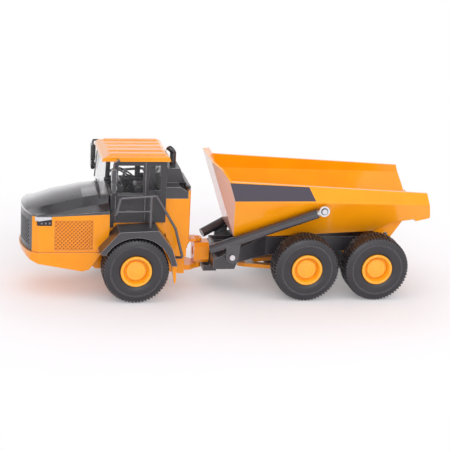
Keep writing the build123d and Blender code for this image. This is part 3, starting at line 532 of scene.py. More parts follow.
@dataclass(frozen=True)
class PaintedRim(Finish):
    """Yellow-orange enamel on the rims, glossier than the body's, with turning marks around the hub that the
    paint has nearly filled."""

    axle: Axle
    colour: str = "#FFB322"
    pooled: str = "#F9A414"
    roughness: float = 0.36
    coat: float = 0.7
    coat_roughness: float = 0.15
    pool_mm: float = 4.0
    ring_mm: float = 0.8
    ring_depth_mm: float = 0.012
    droplet_mm: float = 0.4
    droplet_depth_mm: float = 0.004
    edge_mm: float = 0.25

    def material(self) -> bpy.types.Material:
        """Makes the rim's enamel, centred on its axle.

        Returns:
            The material.
        """
        base = ground(f"sprayed_rim_enamel_{self.axle.tag}",
                      {"Base Color": srgb(self.colour), "Roughness": self.roughness, "IOR": 1.5,
                       "Coat Weight": self.coat, "Coat Roughness": self.coat_roughness})
        tree = base.tree
        # Turning marks: a low wave that runs outwards from the hub
        radius = hub_radius(base, (self.axle.value, 0, HUB_Z))
        turns = node(tree, "Math", {"operation": "MULTIPLY", 1: 2 * math.pi / self.ring_mm}, {0: radius})
        wave = node(tree, "Math", {"operation": "SINE"}, {0: turns.outputs[0]})
        height = node(tree, "Math", {"operation": "MULTIPLY", 1: self.ring_depth_mm}, {0: wave.outputs[0]})
        pools = node(tree, "TexNoise", {"Scale": 1 / self.pool_mm, "Detail": 2.0}, {"Vector": base.place})
        mixed = node(tree, "Mix", {"data_type": "RGBA", 6: srgb(self.colour), 7: srgb(self.pooled)},
                     {"Factor": pools.outputs[0]})
        tree.links.new(mixed.outputs[2], base.shader.inputs["Base Color"])
        relief(base, self.droplet_mm, self.droplet_depth_mm, self.edge_mm, height.outputs[0])
        return base.material


@dataclass(frozen=True)
class ClearStyrene(Finish):
    """Clear moulded styrene of the windows: the background shows through it, and its faces mirror the studio.
    It is clearest face on, and a painted reflection makes it whiter and more opaque where one looks along it."""

    name: str = "clear_styrene"
    colour: str = "#FBFCFF"
    roughness: float = 0.03
    # Opacity face on, and edge on where it paints a white reflection; the Layer Weight blend and the facing
    # at which it begins to rise
    opacity: float = 0.015
    reflection_opacity: float = 0.9
    reflection_blend: float = 0.35
    reflection_facing: float = 0.3
    ripple_mm: float = 14.0
    ripple_depth_mm: float = 0.01
    edge_mm: float = 0.3

    def material(self) -> bpy.types.Material:
        """Makes the clear plastic, with the slight ripple of a thin moulding.

        Returns:
            The material.
        """
        base = ground(self.name, {"Base Color": srgb(self.colour), "Roughness": self.roughness, "IOR": 1.59,
                                  "Alpha": self.opacity})
        # The painted reflection: opacity rises where one looks along the glass
        turn = node(base.tree, "LayerWeight", {"Blend": self.reflection_blend})
        reflection_opacity = node(base.tree, "MapRange", {"From Min": self.reflection_facing, "To Min": self.opacity,
                                            "To Max": self.reflection_opacity}, {"Value": turn.outputs["Facing"]})
        base.tree.links.new(reflection_opacity.outputs[0], base.shader.inputs["Alpha"])
        relief(base, self.ripple_mm, self.ripple_depth_mm, self.edge_mm)
        return base.material


@dataclass(frozen=True)
class PlatedSteel(Finish):
    """Nickel-plated steel wire and rivets: a bright mirror broken by fine drawing marks."""

    name: str = "nickel_plated_steel"
    colour: str = "#F3F3F6"
    worn: str = "#CFCED4"
    roughness: float = 0.2
    # Drawing marks: their size, and what they add to the roughness
    mark_mm: float = 0.6
    mark_roughness: Pair = (-0.06, 0.16)
    grain_mm: float = 0.3
    grain_depth_mm: float = 0.004
    edge_mm: float = 0.15

    def lay(self) -> tuple[Ground, Socket]:
        """Lays the plating.

        Returns:
            The material in the making and its colour.
        """
        base = ground(self.name, {"Base Color": srgb(self.colour), "Metallic": 1.0,
                                  "Roughness": self.roughness})
        tree = base.tree
        marks = node(tree, "TexNoise", {"Scale": 1 / self.mark_mm, "Detail": 3.0}, {"Vector": base.place})
        smoother, rougher = self.mark_roughness
        dulled = node(tree, "MapRange", {"To Min": self.roughness + smoother,
                                         "To Max": self.roughness + rougher}, {"Value": marks.outputs[0]})
        mixed = node(tree, "Mix", {"data_type": "RGBA", 6: srgb(self.colour), 7: srgb(self.worn)},
                     {"Factor": marks.outputs[0]})
        tree.links.new(dulled.outputs[0], base.shader.inputs["Roughness"])
        relief(base, self.grain_mm, self.grain_depth_mm, self.edge_mm)
        return base, mixed.outputs[2]

    def material(self) -> bpy.types.Material:
        """Makes the plating.

        Returns:
            The material.
        """
        base, colour = self.lay()
        base.tree.links.new(colour, base.shader.inputs["Base Color"])
        return base.material


@dataclass(frozen=True)
class RivetedEye(PlatedSteel):
    """The hoist rod's plating, with a dark ring of shadow between the eye and the rivet's head on it."""

    name: str = "nickel_plated_eye"
    centre: Place = (47.7, 0, 48.9)
    shadow_ring: str = "#4A4852"
    # Radii between which the painted shadow ring lies, and the width over which each of its edges fades
    shadow_ring_radii: Pair = (1.35, 1.95)
    soft_mm: float = 0.15

    def lay(self) -> tuple[Ground, Socket]:
        """Lays the plating with its ring.

        Returns:
            The material in the making and its colour.
        """
        base, plated = super().lay()
        # A painted shadow darkens a ring between the eye and the rivet's head
        radius = hub_radius(base, self.centre)
        inner, outer = self.shadow_ring_radii
        opens, closes = (node(base.tree, "MapRange", {"From Min": start, "From Max": end}, {"Value": radius})
                         for start, end in ((inner, inner + self.soft_mm), (outer, outer - self.soft_mm)))
        ring = node(base.tree, "Math", {"operation": "MULTIPLY"}, {0: opens.outputs[0], 1: closes.outputs[0]})
        mixed = node(base.tree, "Mix", {"data_type": "RGBA", 7: srgb(self.shadow_ring)},
                     {"Factor": ring.outputs[0], 6: plated})
        return base, mixed.outputs[2]


@dataclass(frozen=True)
class PlatedLamp(Finish):
    """Vacuum-plated styrene of the lamps: silver on the visor, bare dark plastic in the recess below it."""

    name: str = "vacuum_plated_styrene"
    silver: str = "#DAD8DC"
    bare: str = "#2C2A2F"
    roughness: float = 0.18
    metallic: float = 0.8
    # The visor's lower edge: its height at the front end, where that end is, and its slope up to the rear
    visor_low_z: float = 41.15
    visor_front_x: float = -99.5
    visor_rise: float = 0.15
    soft_mm: Pair = (-0.08, 0.04)
    grain_mm: float = 0.4
    grain_depth_mm: float = 0.003
    edge_mm: float = 0.2

    def material(self) -> bpy.types.Material:
        """Makes the plating, masked by height above the visor's lower edge.

        Returns:
            The material.
        """
        base = ground(self.name, {"Base Color": srgb(self.silver), "Roughness": self.roughness,
                                  "Metallic": self.metallic})
        tree = base.tree
        height = node(tree, "VectorMath", {"operation": "DOT_PRODUCT", 1: (-self.visor_rise, 0, 1)},
                      {0: base.place})
        edge = self.visor_low_z - self.visor_rise * self.visor_front_x
        above = node(tree, "MapRange", {"From Min": edge + self.soft_mm[0],
                                        "From Max": edge + self.soft_mm[1]},
                     {"Value": height.outputs["Value"]})
        mixed = node(tree, "Mix", {"data_type": "RGBA", 6: srgb(self.bare), 7: srgb(self.silver)},
                     {"Factor": above.outputs[0]})
        plated = node(tree, "Math", {"operation": "MULTIPLY", 1: self.metallic}, {0: above.outputs[0]})
        tree.links.new(mixed.outputs[2], base.shader.inputs["Base Color"])
        tree.links.new(plated.outputs[0], base.shader.inputs["Metallic"])
        relief(base, self.grain_mm, self.grain_depth_mm, self.edge_mm)
        return base.material


@dataclass(frozen=True)
class StudioPaper(Finish):
    """White paper sweep under the truck: it keeps the truck's shadow near it, and is seen as plain white
    further out, so that no horizon shows."""

    name: str = "studio_paper"
    colour: str = "#FAF6FA"
    # Share of plain white under the truck, and the distances between which it grows to all
    lift: float = 0.2
    near_m: float = 0.11
    far_m: float = 0.23
    # Paper fibres, drawn coarser than the real ones so that they show
    fibre_m: float = 1 / 900
    fibre_depth_m: float = 0.0002

    def material(self) -> bpy.types.Material:
        """Makes the paper: a matte sheet that camera, gloss and glass see partly as plain white.

        Returns:
            The material.
        """
        material = bpy.data.materials.new(self.name)
        material.use_nodes = True
        tree = material.node_tree
        tree.nodes.clear()
        origin = node(tree, "TexCoord")
        away = node(tree, "VectorMath", {"operation": "LENGTH"}, {0: origin.outputs["Object"]})
        white = node(tree, "MapRange", {"interpolation_type": "SMOOTHSTEP", "From Min": self.near_m,
                                        "From Max": self.far_m, "To Min": self.lift},
                     {"Value": away.outputs["Value"]})
        rays = node(tree, "LightPath")
        seen = rays.outputs["Is Camera Ray"]
        for kind in ("Is Glossy Ray", "Is Transmission Ray"):
            seen = node(tree, "Math", {"operation": "ADD", "use_clamp": True},
                        {0: seen, 1: rays.outputs[kind]}).outputs[0]
        share = node(tree, "Math", {"operation": "MULTIPLY"}, {0: seen, 1: white.outputs[0]})
        fibre = node(tree, "TexNoise", {"Scale": 1 / self.fibre_m, "Detail": 3.0},
                     {"Vector": origin.outputs["Object"]})
        bumped = node(tree, "Bump", {"Strength": 0.05, "Distance": self.fibre_depth_m},
                      {"Height": fibre.outputs[0]})
        matte = node(tree, "BsdfDiffuse", {"Color": srgb(self.colour)}, {"Normal": bumped.outputs[0]})
        plain = node(tree, "Emission", {"Color": (1, 1, 1, 1), "Strength": 1.0})
        both = node(tree, "MixShader", {}, {0: share.outputs[0], 1: matte.outputs[0], 2: plain.outputs[0]})
        node(tree, "OutputMaterial", {}, {"Surface": both.outputs[0]})
        return material


def dress(finish: Finish, *names: str) -> None:
    """Gives nodes of the frame one finish.

    Args:
        finish: the finish that they share.
        names: the nodes.
    """
    material = finish.material()
    for name in names:
        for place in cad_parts[name].material_slots:
            place.material = material
        log.info("dressed %s with %s", name, material.name)


def fresh() -> None:
    """Clears the selection."""
    bpy.ops.object.select_all(action="DESELECT")


def pick_faces(test: Callable[[bmesh.types.BMFace], bool]) -> None:
    """Selects faces of the object in edit mode, and drops all others.

    Args:
        test: whether a face is wanted.
    """
    bpy.ops.mesh.select_mode(type="FACE")
    bpy.ops.mesh.select_all(action="DESELECT")
    data = bpy.context.object.data
    for face in bmesh.from_edit_mesh(data).faces:
        if test(face):
            face.select_set(True)
    bmesh.update_edit_mesh(data)


def extrude_rings(rings: Sequence[Pair], axis: tuple[int, int, int]) -> None:
    """Draws the selected ring out from step to step, wider or narrower each time.

    Args:
        rings: radius and place along the axis of each ring in millimetres, the selected one first.
        axis: the axis on which the rings lie, as a unit vector.
    """
    radius, reach = rings[0]
    for wider, further in rings[1:]:
        step = [a * (further - reach) * MM for a in axis]
        bpy.ops.mesh.extrude_region_move(TRANSFORM_OT_translate={"value": step})
        bpy.ops.transform.resize(value=[1 if a else wider / radius for a in axis],
                                 center_override=[a * further * MM for a in axis])
        radius, reach = wider, further


def stand(at: Place, turn: Place = (0, 0, 0)) -> bpy.types.Object:
    """Turns the active object and moves it, and keeps both in its mesh.

    Args:
        at: its place in millimetres.
        turn: rotation about X, Y and Z in degrees.

    Returns:
        The object.
    """
    piece = bpy.context.object
    piece.rotation_euler = [math.radians(a) for a in turn]
    piece.location = Vector(at) * MM
    bpy.ops.object.transform_apply(location=True, rotation=True, scale=True)
    return piece


def copy_of(pattern: bpy.types.Object, at: Place, turn: Place = (0, 0, 0)) -> bpy.types.Object:
    """Copies a modelled object, with a mesh of its own, and leaves the copy active.

    Args:
        pattern: the modelled object, which lies about the origin.
        at: the copy's place in millimetres.
        turn: its rotation about X, Y and Z in degrees.

    Returns:
        The copy.
    """
    fresh()
    copy = pattern.copy()
    copy.data = pattern.data.copy()
    bpy.context.collection.objects.link(copy)
    copy.select_set(True)
    bpy.context.view_layer.objects.active = copy
    return stand(at, turn)


def join(shapes: list[bpy.types.Object]) -> bpy.types.Object:
    """Joins objects into one.

    Args:
        shapes: the objects, two or more.

    Returns:
        The first of them, which then holds all and is active.
    """
    fresh()
    for shape in shapes:
        shape.select_set(True)
    bpy.context.view_layer.objects.active = shapes[0]
    bpy.ops.object.join()
    return shapes[0]


def settle(name: str, material: bpy.types.Material, body: str,
           smooth: float = 35) -> bpy.types.Object:
    """Names the active object, smooths its round faces, finishes it and lets it ride.

    Args:
        name: the piece's name.
        material: its finish.
        body: the body it moves with.
        smooth: angle in degrees below which its edges are shaded smooth.

    Returns:
        The finished piece.
    """
    bpy.ops.object.shade_smooth_by_angle(angle=math.radians(smooth))
    piece = bpy.context.object
    piece.name = piece.data.name = name
    piece.data.materials.clear()
    piece.data.materials.append(material)
    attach(piece, body)
    log.info("made %s on %s with %d faces", name, body, len(piece.data.polygons))
    return piece


class Shape(ABC):
    """A simple form that fine pieces are put together from, in millimetres."""

    @abstractmethod
    def make(self) -> bpy.types.Object:
        """Models the form and leaves it active."""


@dataclass(frozen=True)
class Block(Shape):
    """A block with rounded edges.

    Attributes:
        size: its three sides.
        at: its centre.
        bevel: width of the rounded edges.
        turn: rotation about X, Y and Z in degrees.
        taper: size of its upper face as a share of the lower one.
    """

    size: Place
    at: Place
    bevel: float
    turn: Place = (0, 0, 0)
    taper: float = 1.0

    def make(self) -> bpy.types.Object:
        """Models the block.

        Returns:
            The block's object.
        """
        fresh()
        bpy.ops.mesh.primitive_cube_add(size=1)
        bpy.ops.object.mode_set(mode="EDIT")
        bpy.ops.mesh.select_all(action="SELECT")
        bpy.ops.transform.resize(value=[s * MM for s in self.size])
        # Only the upper face is tapered
        pick_faces(lambda face: face.normal.z > 0.9)
        bpy.ops.transform.resize(value=(self.taper, self.taper, 1))
        bpy.ops.mesh.select_all(action="SELECT")
        bpy.ops.mesh.bevel(offset=self.bevel * MM, segments=3)
        bpy.ops.object.mode_set(mode="OBJECT")
        return stand(self.at, self.turn)


@dataclass(frozen=True)
class Turned(Shape):
    """A turned form: a ring drawn out from step to step along Z, its ends closed by discs.

    Attributes:
        steps: radius and height of each ring, from one end to the other.
        at: where the height's zero lies.
        turn: rotation about X, Y and Z in degrees.
        sides: how many sides the rings have.
    """

    steps: Sequence[Pair]
    at: Place = (0, 0, 0)
    turn: Place = (0, 0, 0)
    sides: int = 48

    def make(self) -> bpy.types.Object:
        """Models the turned form.

        Returns:
            Its object.
        """
        fresh()
        radius, height = self.steps[0]
        bpy.ops.mesh.primitive_circle_add(vertices=self.sides, radius=radius * MM, fill_type="NGON")
        bpy.ops.object.mode_set(mode="EDIT")
        bpy.ops.mesh.select_all(action="SELECT")
        bpy.ops.transform.translate(value=(0, 0, height * MM))
        extrude_rings(self.steps, (0, 0, 1))
        bpy.ops.mesh.select_all(action="SELECT")
        bpy.ops.mesh.normals_make_consistent(inside=False)
        bpy.ops.object.mode_set(mode="OBJECT")
        return stand(self.at, self.turn)


@dataclass(frozen=True)
class Rod(Shape):
    """A round bar along a smooth path.

    Attributes:
        points: the path's control points.
        radius: the bar's radius.
    """

    points: Sequence[Place]
    radius: float

    def make(self) -> bpy.types.Object:
        """Models the bar.

        Returns:
            The bar's object.
        """
        fresh()
        bpy.ops.curve.primitive_nurbs_path_add()
        path = bpy.context.object
        path.data.splines.clear()
        spline = path.data.splines.new("NURBS")
        spline.points.add(len(self.points) - 1)
        for point, place in zip(spline.points, self.points):
            point.co = (*[c * MM for c in place], 1)
        spline.order_u = 3
        spline.use_endpoint_u = True
        path.data.bevel_depth = self.radius * MM
        path.data.bevel_resolution = 4
        path.data.use_fill_caps = True
        bpy.ops.object.convert(target="MESH")
        return bpy.context.object


@dataclass
class Wheels:
    """The three wheelsets: lugged vinyl tyres on dished, painted rims."""

    track_outside: float = 32.7
    half_tread: float = 7.35
    lug_radius: float = 17.2
    groove_radius: float = 16.55
    # Faces beyond this radius are tread
    tread_radius: float = 16.0
    # Within this distance from the tyre's middle plane the lugs stand further apart
    middle_band: float = 1.8
    columns: int = 120
    # Radius and distance from the tyre's middle plane, from the bore out to the tread
    section: tuple[Pair, ...] = (
        (8.12, 5.4), (8.3, 6.3), (9.0, 6.75), (10.6, 7.0), (12.9, 7.05), (13.1, 7.3), (13.4, 7.3),
        (13.6, 7.0), (14.8, 6.85), (15.8, 6.5), (16.3, 6.0), (16.55, 5.1), (16.55, 1.8),
    )
    # Radius and depth below the tyre's outer face, from the hub's centre over dish and lip to the back
    dish: tuple[Pair, ...] = (
        (0.05, 1.7), (1.5, 1.7), (1.75, 1.9), (3.1, 1.9), (3.4, 2.1), (4.7, 2.1), (5.15, 2.5), (5.2, 3.4),
        (5.7, 3.4), (6.55, 0.9), (6.8, 0.4), (7.2, 0.15), (7.8, 0.2), (8.1, 0.5), (8.1, 13.2), (3.2, 13.2),
        (3.2, 14.6), (1.5, 14.6),
    )

    def is_lug(self, face: bmesh.types.BMFace) -> bool:
        """Tells the foot of a lug: every second column, moved round by one on the tyre's other side.

        Args:
            face: a face of the tyre.

        Returns:
            Whether a lug rises from it.
        """
        centre = face.calc_center_median() / MM
        if math.hypot(centre.x, centre.z) < self.tread_radius:
            return False
        step = 2 * math.pi / self.columns
        column = int((math.atan2(centre.z, centre.x) + 2 * math.pi) / step)
        if abs(centre.y) < self.middle_band:
            return column % 4 == 0
        return column % 2 == (0 if centre.y < 0 else 1)

    def tyre(self) -> bpy.types.Object:
        """Models one tyre about the Y axis: rings drawn out across the section, then lugs on its tread.

        Returns:
            The tyre, centred on the origin.
        """
        fresh()
        rings = [*self.section, *[(r, -y) for r, y in reversed(self.section)]]
        radius, y = rings[0]
        bpy.ops.mesh.primitive_circle_add(vertices=self.columns, radius=radius * MM,
                                          rotation=(math.pi / 2, 0, 0))
        bpy.ops.object.transform_apply(location=True, rotation=True, scale=True)
        bpy.ops.object.mode_set(mode="EDIT")
        bpy.ops.mesh.select_all(action="SELECT")
        bpy.ops.transform.translate(value=(0, y * MM, 0))
        extrude_rings(rings, (0, 1, 0))
        # The two bore loops are the only open edges left
        bpy.ops.mesh.select_mode(type="EDGE")
        bpy.ops.mesh.select_all(action="DESELECT")
        bpy.ops.mesh.select_non_manifold()
        bpy.ops.mesh.bridge_edge_loops()
        bpy.ops.mesh.select_all(action="SELECT")
        bpy.ops.mesh.normals_make_consistent(inside=False)
        pick_faces(self.is_lug)
        bpy.ops.mesh.extrude_region_move()
        ratio = self.lug_radius / self.groove_radius
        bpy.ops.transform.resize(value=(ratio, 1, ratio), center_override=(0, 0, 0))
        bpy.ops.object.mode_set(mode="OBJECT")
        return bpy.context.object

    def build(self) -> None:
        """Makes the six tyres and the three pairs of rims."""
        vinyl = MouldedVinyl().material()
        tyre = self.tyre()
        # One turned piece runs from the left hub over the axle to the right hub
        left = [(radius, -self.track_outside + depth) for radius, depth in self.dish]
        right = [(radius, -height) for radius, height in reversed(left)]
        rims = Turned([*left, *right], turn=(-90, 0, 0), sides=64).make()
        for axle in Axle:
            for side in Side:
                copy_of(tyre, (axle.value, side.value * (self.track_outside - self.half_tread), HUB_Z))
                piece = settle(f"lugged_tyre_{axle.tag}_{side.tag}", vinyl, axle.body, smooth=28)
                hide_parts(f"tyre_{axle.tag}_{side.tag}")
        for axle in Axle:
            copy_of(rims, (axle.value, 0, HUB_Z))
            enamel = PaintedRim(axle).material()
            piece = settle(f"dished_rims_{axle.tag}", enamel, axle.body, smooth=30)
            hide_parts(f"rims_{axle.tag}")
        for pattern in (tyre, rims):
            bpy.data.objects.remove(pattern)


@dataclass
class FrontUnit:
    """Hood, side panels, bumper, grille, lamps, fenders and chassis."""

    # Middle of the three bulbs, how far apart they are, and a lens's rings from its foot to its crown
    bulb_middle: Place = (-95.0, 21.75, 40.1)
    bulb_pitch: float = 2.0
    lens: tuple[Pair, ...] = ((0.62, 0.0), (0.62, 0.1), (0.52, 0.18), (0.34, 0.24), (0.02, 0.26))
    # Middle of a mesh plate, half its length and height, and its bars
    mesh_middle: Place = (-80.6, 21.43, 33.7)
    mesh_half: Pair = (9.75, 7.85)
    mesh_pitch: float = 2.0
    mesh_bar: float = 0.42
    mesh_thick: float = 0.6
    # An odd number, so that an opening lies in the middle of the plate as in the frame's own
    mesh_cells: int = 21

    def lattice(self) -> bpy.types.Object:
        """Models a mesh plate: a grid turned by 45 degrees, opened in each cell, trimmed and thickened.

        Returns:
            The plate, upright and centred on the origin.
        """
        fresh()
        bpy.ops.mesh.primitive_grid_add(x_subdivisions=self.mesh_cells, y_subdivisions=self.mesh_cells,
                                        size=self.mesh_cells * self.mesh_pitch / math.sqrt(2) * MM)
        bpy.ops.object.mode_set(mode="EDIT")
        bpy.ops.mesh.select_mode(type="FACE")
        bpy.ops.mesh.select_all(action="SELECT")
        bpy.ops.transform.rotate(value=math.pi / 4, orient_axis="Z", center_override=(0, 0, 0))
        bpy.ops.mesh.inset(thickness=self.mesh_bar / 2 * MM, use_individual=True)
        bpy.ops.mesh.delete(type="FACE")
        length, height = self.mesh_half
        for out, half in (((-1, 0, 0), length), ((1, 0, 0), length),
                          ((0, -1, 0), height), ((0, 1, 0), height)):
            bpy.ops.mesh.select_all(action="SELECT")
            bpy.ops.mesh.bisect(plane_co=Vector(out) * half * MM, plane_no=out, clear_outer=True)
        bpy.ops.object.mode_set(mode="OBJECT")
        thick = bpy.context.object.modifiers.new("thickness", "SOLIDIFY")
        thick.thickness = self.mesh_thick * MM
        thick.offset = 0
        bpy.ops.object.modifier_apply(modifier=thick.name)
        return stand((0, 0, 0), (90, 0, 0))

    def build(self) -> None:
        """Makes the mesh plates, and the lamps' domed lenses, three on each side."""
        # The lattice's bars are thin, so their edges are rounded less
        enamel = SprayedZinc("sprayed_zinc_mesh", edge_mm=0.1).material()
        glass = PlatedSteel("plated_lens", "#8E8C94", "#6C6A73", roughness=0.12, mark_mm=1.2).material()
        plate, lens = self.lattice(), Turned(self.lens, sides=20).make()
        x, y, z = self.mesh_middle
        for side in Side:
            copy_of(plate, (x, side.value * y, z))
            piece = settle(f"diamond_mesh_{side.tag}", enamel, FRONT_BODY)
            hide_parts(f"mesh_{side.tag}")
        x, y, z = self.bulb_middle
        for side in Side:
            join([copy_of(lens, (x + k * self.bulb_pitch, side.value * y, z), (-90 * side.value, 0, 0))
                  for k in (-1, 0, 1)])
            settle(f"lamp_lenses_{side.tag}", glass, FRONT_BODY)
        for pattern in (plate, lens):
            bpy.data.objects.remove(pattern)

    def dress(self) -> None:
        """Finishes the nodes of the front unit."""
        dress(SprayedZinc(), "bumper", "chassis", "housing", "steps")
        dress(PocketedZinc(), "side_panels")
        dress(PlatedLamp(), "lamps")
        dress(MouldedStyrene("moulded_styrene_grille", "#2F2D35", "#3A3841", "#8B8992", roughness=0.32,
                             edge_mm=0.15), "grille")
        # The hood is polished, and a painted sheen whitens its crown where it curves away
        dress(MouldedStyrene("moulded_styrene_hood", "#2E2C31", "#343237", "#9B999F", roughness=0.24,
                             coat=0.8, grazing_sheen=0.8, flow_mm=14.0, edge_mm=0.4), "hood_cover")
        # Painted highlights run as thin light lines along the folds of the fenders and boxes
        dress(MouldedStyrene("moulded_styrene_fender", "#2F2D32", "#353338", "#DAD8E0", edge_mm=0.4),
              "fender_left", "fender_right", "intake_boxes")
        # Thin bars and mirror heads are glossy: bars get a mid grey that stands for their highlights, heads
        # are black, and both have painted highlights as bright rims
        dress(MouldedStyrene("moulded_styrene_bar", "#4A484D", "#58565C", "#D5D3DA", roughness=0.2,
                             edge_mm=0.15), "handrail_left", "handrail_right")
        dress(MouldedStyrene("moulded_styrene_mirror", "#2C2A2F", "#37353A", "#D5D3DA", roughness=0.12,
                             coat=0.9, edge_mm=0.3), "mirror_left", "mirror_right")


@dataclass
class Cab:
    """Shell, glazing, roof and what shows through the windows."""

    # Y of the doors' trim, of the mirrors' glass and of the windscreen's edge
    trim_y: float = 18.42
    mirror_face_y: float = 25.8
    glass_half: float = 16.8
    # Ends of the windscreen's gasket as X and Z
    gasket_low: Pair = (-67.0, 54.8)
    gasket_high: Pair = (-65.5, 71.8)
    # The mirrors: side, X of the rear face, then middle height and length of the large and of the small glass
    mirrors: tuple[tuple[Side, float, tuple[Pair, ...]], ...] = (
        (Side.LEFT, -60.1, ((66.0, 5.2), (60.1, 1.6))), (Side.RIGHT, -65.9, ((65.9, 6.4), (59.2, 1.6))),
    )

    def wiper(self) -> None:
        """Models the wiper: the blade, the arm before it, the clip between them and the arm's foot."""
        join([shape.make() for shape in (
            Rod([(-67.3, 3.5, 56.7), (-67.3, -5.0, 56.2), (-67.0, -11.0, 54.9), (-66.5, -14.4, 53.0)], 0.42),
            Rod([(-68.3, 0.5, 56.6), (-68.3, -6.0, 56.0), (-67.8, -11.5, 54.5), (-67.0, -15.2, 51.8)], 0.34),
            Block((1.4, 1.0, 0.8), (-67.7, -2.6, 56.6), 0.25, (0, 0, 4)),
            Block((1.2, 1.4, 0.9), (-67.1, -14.4, 52.9), 0.3, (50, 0, 0)),
        )])

    def gasket(self) -> None:
        """Models the dark gasket along the windscreen's far edge."""
        Rod([(x, self.glass_half, z) for x, z in (self.gasket_low, self.gasket_high)], 0.28).make()

    def door(self) -> bpy.types.Object:
        """Models a door's three raised ribs and its handle.

        Returns:
            The trim, on the truck's middle plane.
        """
        return join([shape.make() for shape in (
            Block((0.55, 0.5, 30.6), (-44.1, 0, 55.9), 0.16),
            Block((13.6, 0.45, 0.5), (-51.6, 0, 54.1), 0.16),
            Block((0.45, 0.4, 13.4), (-59.4, 0, 47.0), 0.14),
            Block((3.6, 0.9, 0.8), (-51.8, 0, 45.9), 0.3),
        )])

    def seat(self) -> None:
        """Models the driver's seat: cushion, back and headrest, with the armrest beside them."""
        join([shape.make() for shape in (
            Block((9.0, 11.0, 2.4), (-43.6, 0, 54.4), 0.9),
            Block((2.6, 10.4, 9.4), (-39.6, 0, 60.0), 1.0, (0, -6, 0), 0.86),
            Block((1.8, 6.4, 2.6), (-40.2, 0, 66.2), 0.7, (0, -6, 0)),
            Block((6.0, 1.2, 1.2), (-43.6, -6.4, 57.6), 0.4),
        )])

    def helm(self) -> None:
        """Models the dashboard's hood and the boss of the steering wheel."""
        join([shape.make() for shape in (
            Block((4.2, 17.0, 1.6), (-57.0, 0, 57.6), 0.6, (0, 12, 0), 0.8),
            Turned([(0.05, 0.0), (0.9, 0.05), (1.0, 0.35), (0.05, 0.4)], (-52.9, 0, 61.6), (0, -28, 0), 24),
        )])

    def build(self) -> None:
        """Makes the wiper, the gasket, the doors' trim, the seat, the dashboard and the mirrors' glasses."""
        black = MouldedStyrene("moulded_styrene_wiper", "#2E2C30", "#3A383D", "#7C7A80", roughness=0.3,
                               edge_mm=0.1).material()
        self.wiper()
        settle("windscreen_wiper", black, FRONT_BODY)
        self.gasket()
        settle("windscreen_gasket", black, FRONT_BODY)
        # The trim is a touch paler than the door and has painted highlights on its edges, so that its thin
        # ribs show
        trim = MouldedStyrene("moulded_styrene_door", "#3F3D43", "#48464C", "#DDDBE2", roughness=0.22,
                              edge_mm=0.3).material()
        door = self.door()
        for side in Side:
            copy_of(door, (0, side.value * self.trim_y, 0))
            settle(f"door_trim_{side.tag}", trim, FRONT_BODY)
        bpy.data.objects.remove(door)
        # Dull, cooler greys read as a dim inside
        inside = MouldedStyrene("moulded_styrene_seat", "#34343A", "#3E3E46", "#75757E",
                                roughness=0.45).material()
        self.seat()
        settle("driver_seat", inside, FRONT_BODY)
        self.helm()
        settle("dashboard_hood", inside, FRONT_BODY)
        glass = PlatedSteel("plated_mirror_face", "#CFD2D8", "#B4B7BE", roughness=0.08,
                            mark_mm=3.0).material()
        for side, x, heads in self.mirrors:
            join([Block((0.3, 3.4, tall), (x, side.value * self.mirror_face_y, z), 0.12).make()
                  for z, tall in heads])
            settle(f"mirror_glasses_{side.tag}", glass, FRONT_BODY)

    def dress(self) -> None:
        """Finishes the cab's nodes."""
        # The shell is the darkest moulding, with the windows' thin pillars drawn by painted highlights on
        # their edges
        dress(MouldedStyrene("moulded_styrene_cab", "#262429", "#2C2A2F", "#8A888F", roughness=0.3,
                             coat=0.15), "cab_shell")
        dress(MouldedStyrene("moulded_styrene_inside", "#34343A", "#3C3C43", "#6C6C76", roughness=0.45),
              "cab_interior")
        dress(MouldedStyrene("moulded_styrene_stack", "#29272C", "#333137", "#A5A3AA", roughness=0.16),
              "exhaust_stack")
        dress(SprayedZinc("sprayed_zinc_roof", edge_mm=0.25), "roof")
        dress(ClearStyrene(), "glazing")


class RearFrame:
    """Knuckle, rear frame, suspension frame and hoist."""

    def dress(self) -> None:
        """Finishes the nodes behind the articulation."""
        dress(SprayedZinc("sprayed_zinc_casting"), "knuckle", "suspension_frame")
        # The frame's edges carry bright painted highlights
        dress(MouldedStyrene("moulded_styrene_frame", "#302E33", "#39373C", "#C4C2CA", roughness=0.34,
                             edge_mm=0.3), "rear_frame")
        # The round barrels are glossier and paler than the frame that they lie against
        dress(MouldedStyrene("moulded_styrene_barrel", "#39373C", "#424046", "#B3B1B8", roughness=0.18,
                             coat=0.6, edge_mm=0.3), "hoist_barrel_left", "hoist_barrel_right")
        dress(RivetedEye(), "hoist_rod_left", "hoist_rod_right")
        dress(PlatedSteel(), "hoist_rivets", "tipping_pin")


class Bed:
    """The tipping bed with its bare dark stripe on each side."""

    def dress(self) -> None:
        """Finishes the bed."""
        dress(StripedZinc(), "bed")


@dataclass(frozen=True)
class SoftLamp:
    """A square, soft studio lamp.

    Attributes:
        name: its name.
        at: its place in millimetres.
        size: its side in millimetres.
        power: its power in watts.
    """

    name: str
    at: Place
    size: float
    power: float

    def add(self, aim: Vector) -> None:
        """Adds the lamp, turned towards a point.

        Args:
            aim: the point, in metres.
        """
        fresh()
        bpy.ops.object.light_add(type="AREA", location=Vector(self.at) * MM)
        lamp = bpy.context.object
        lamp.name = self.name
        lamp.data.size = self.size * MM
        lamp.data.energy = self.power
        lamp.rotation_euler = (aim - lamp.location).to_track_quat("-Z", "Y").to_euler()


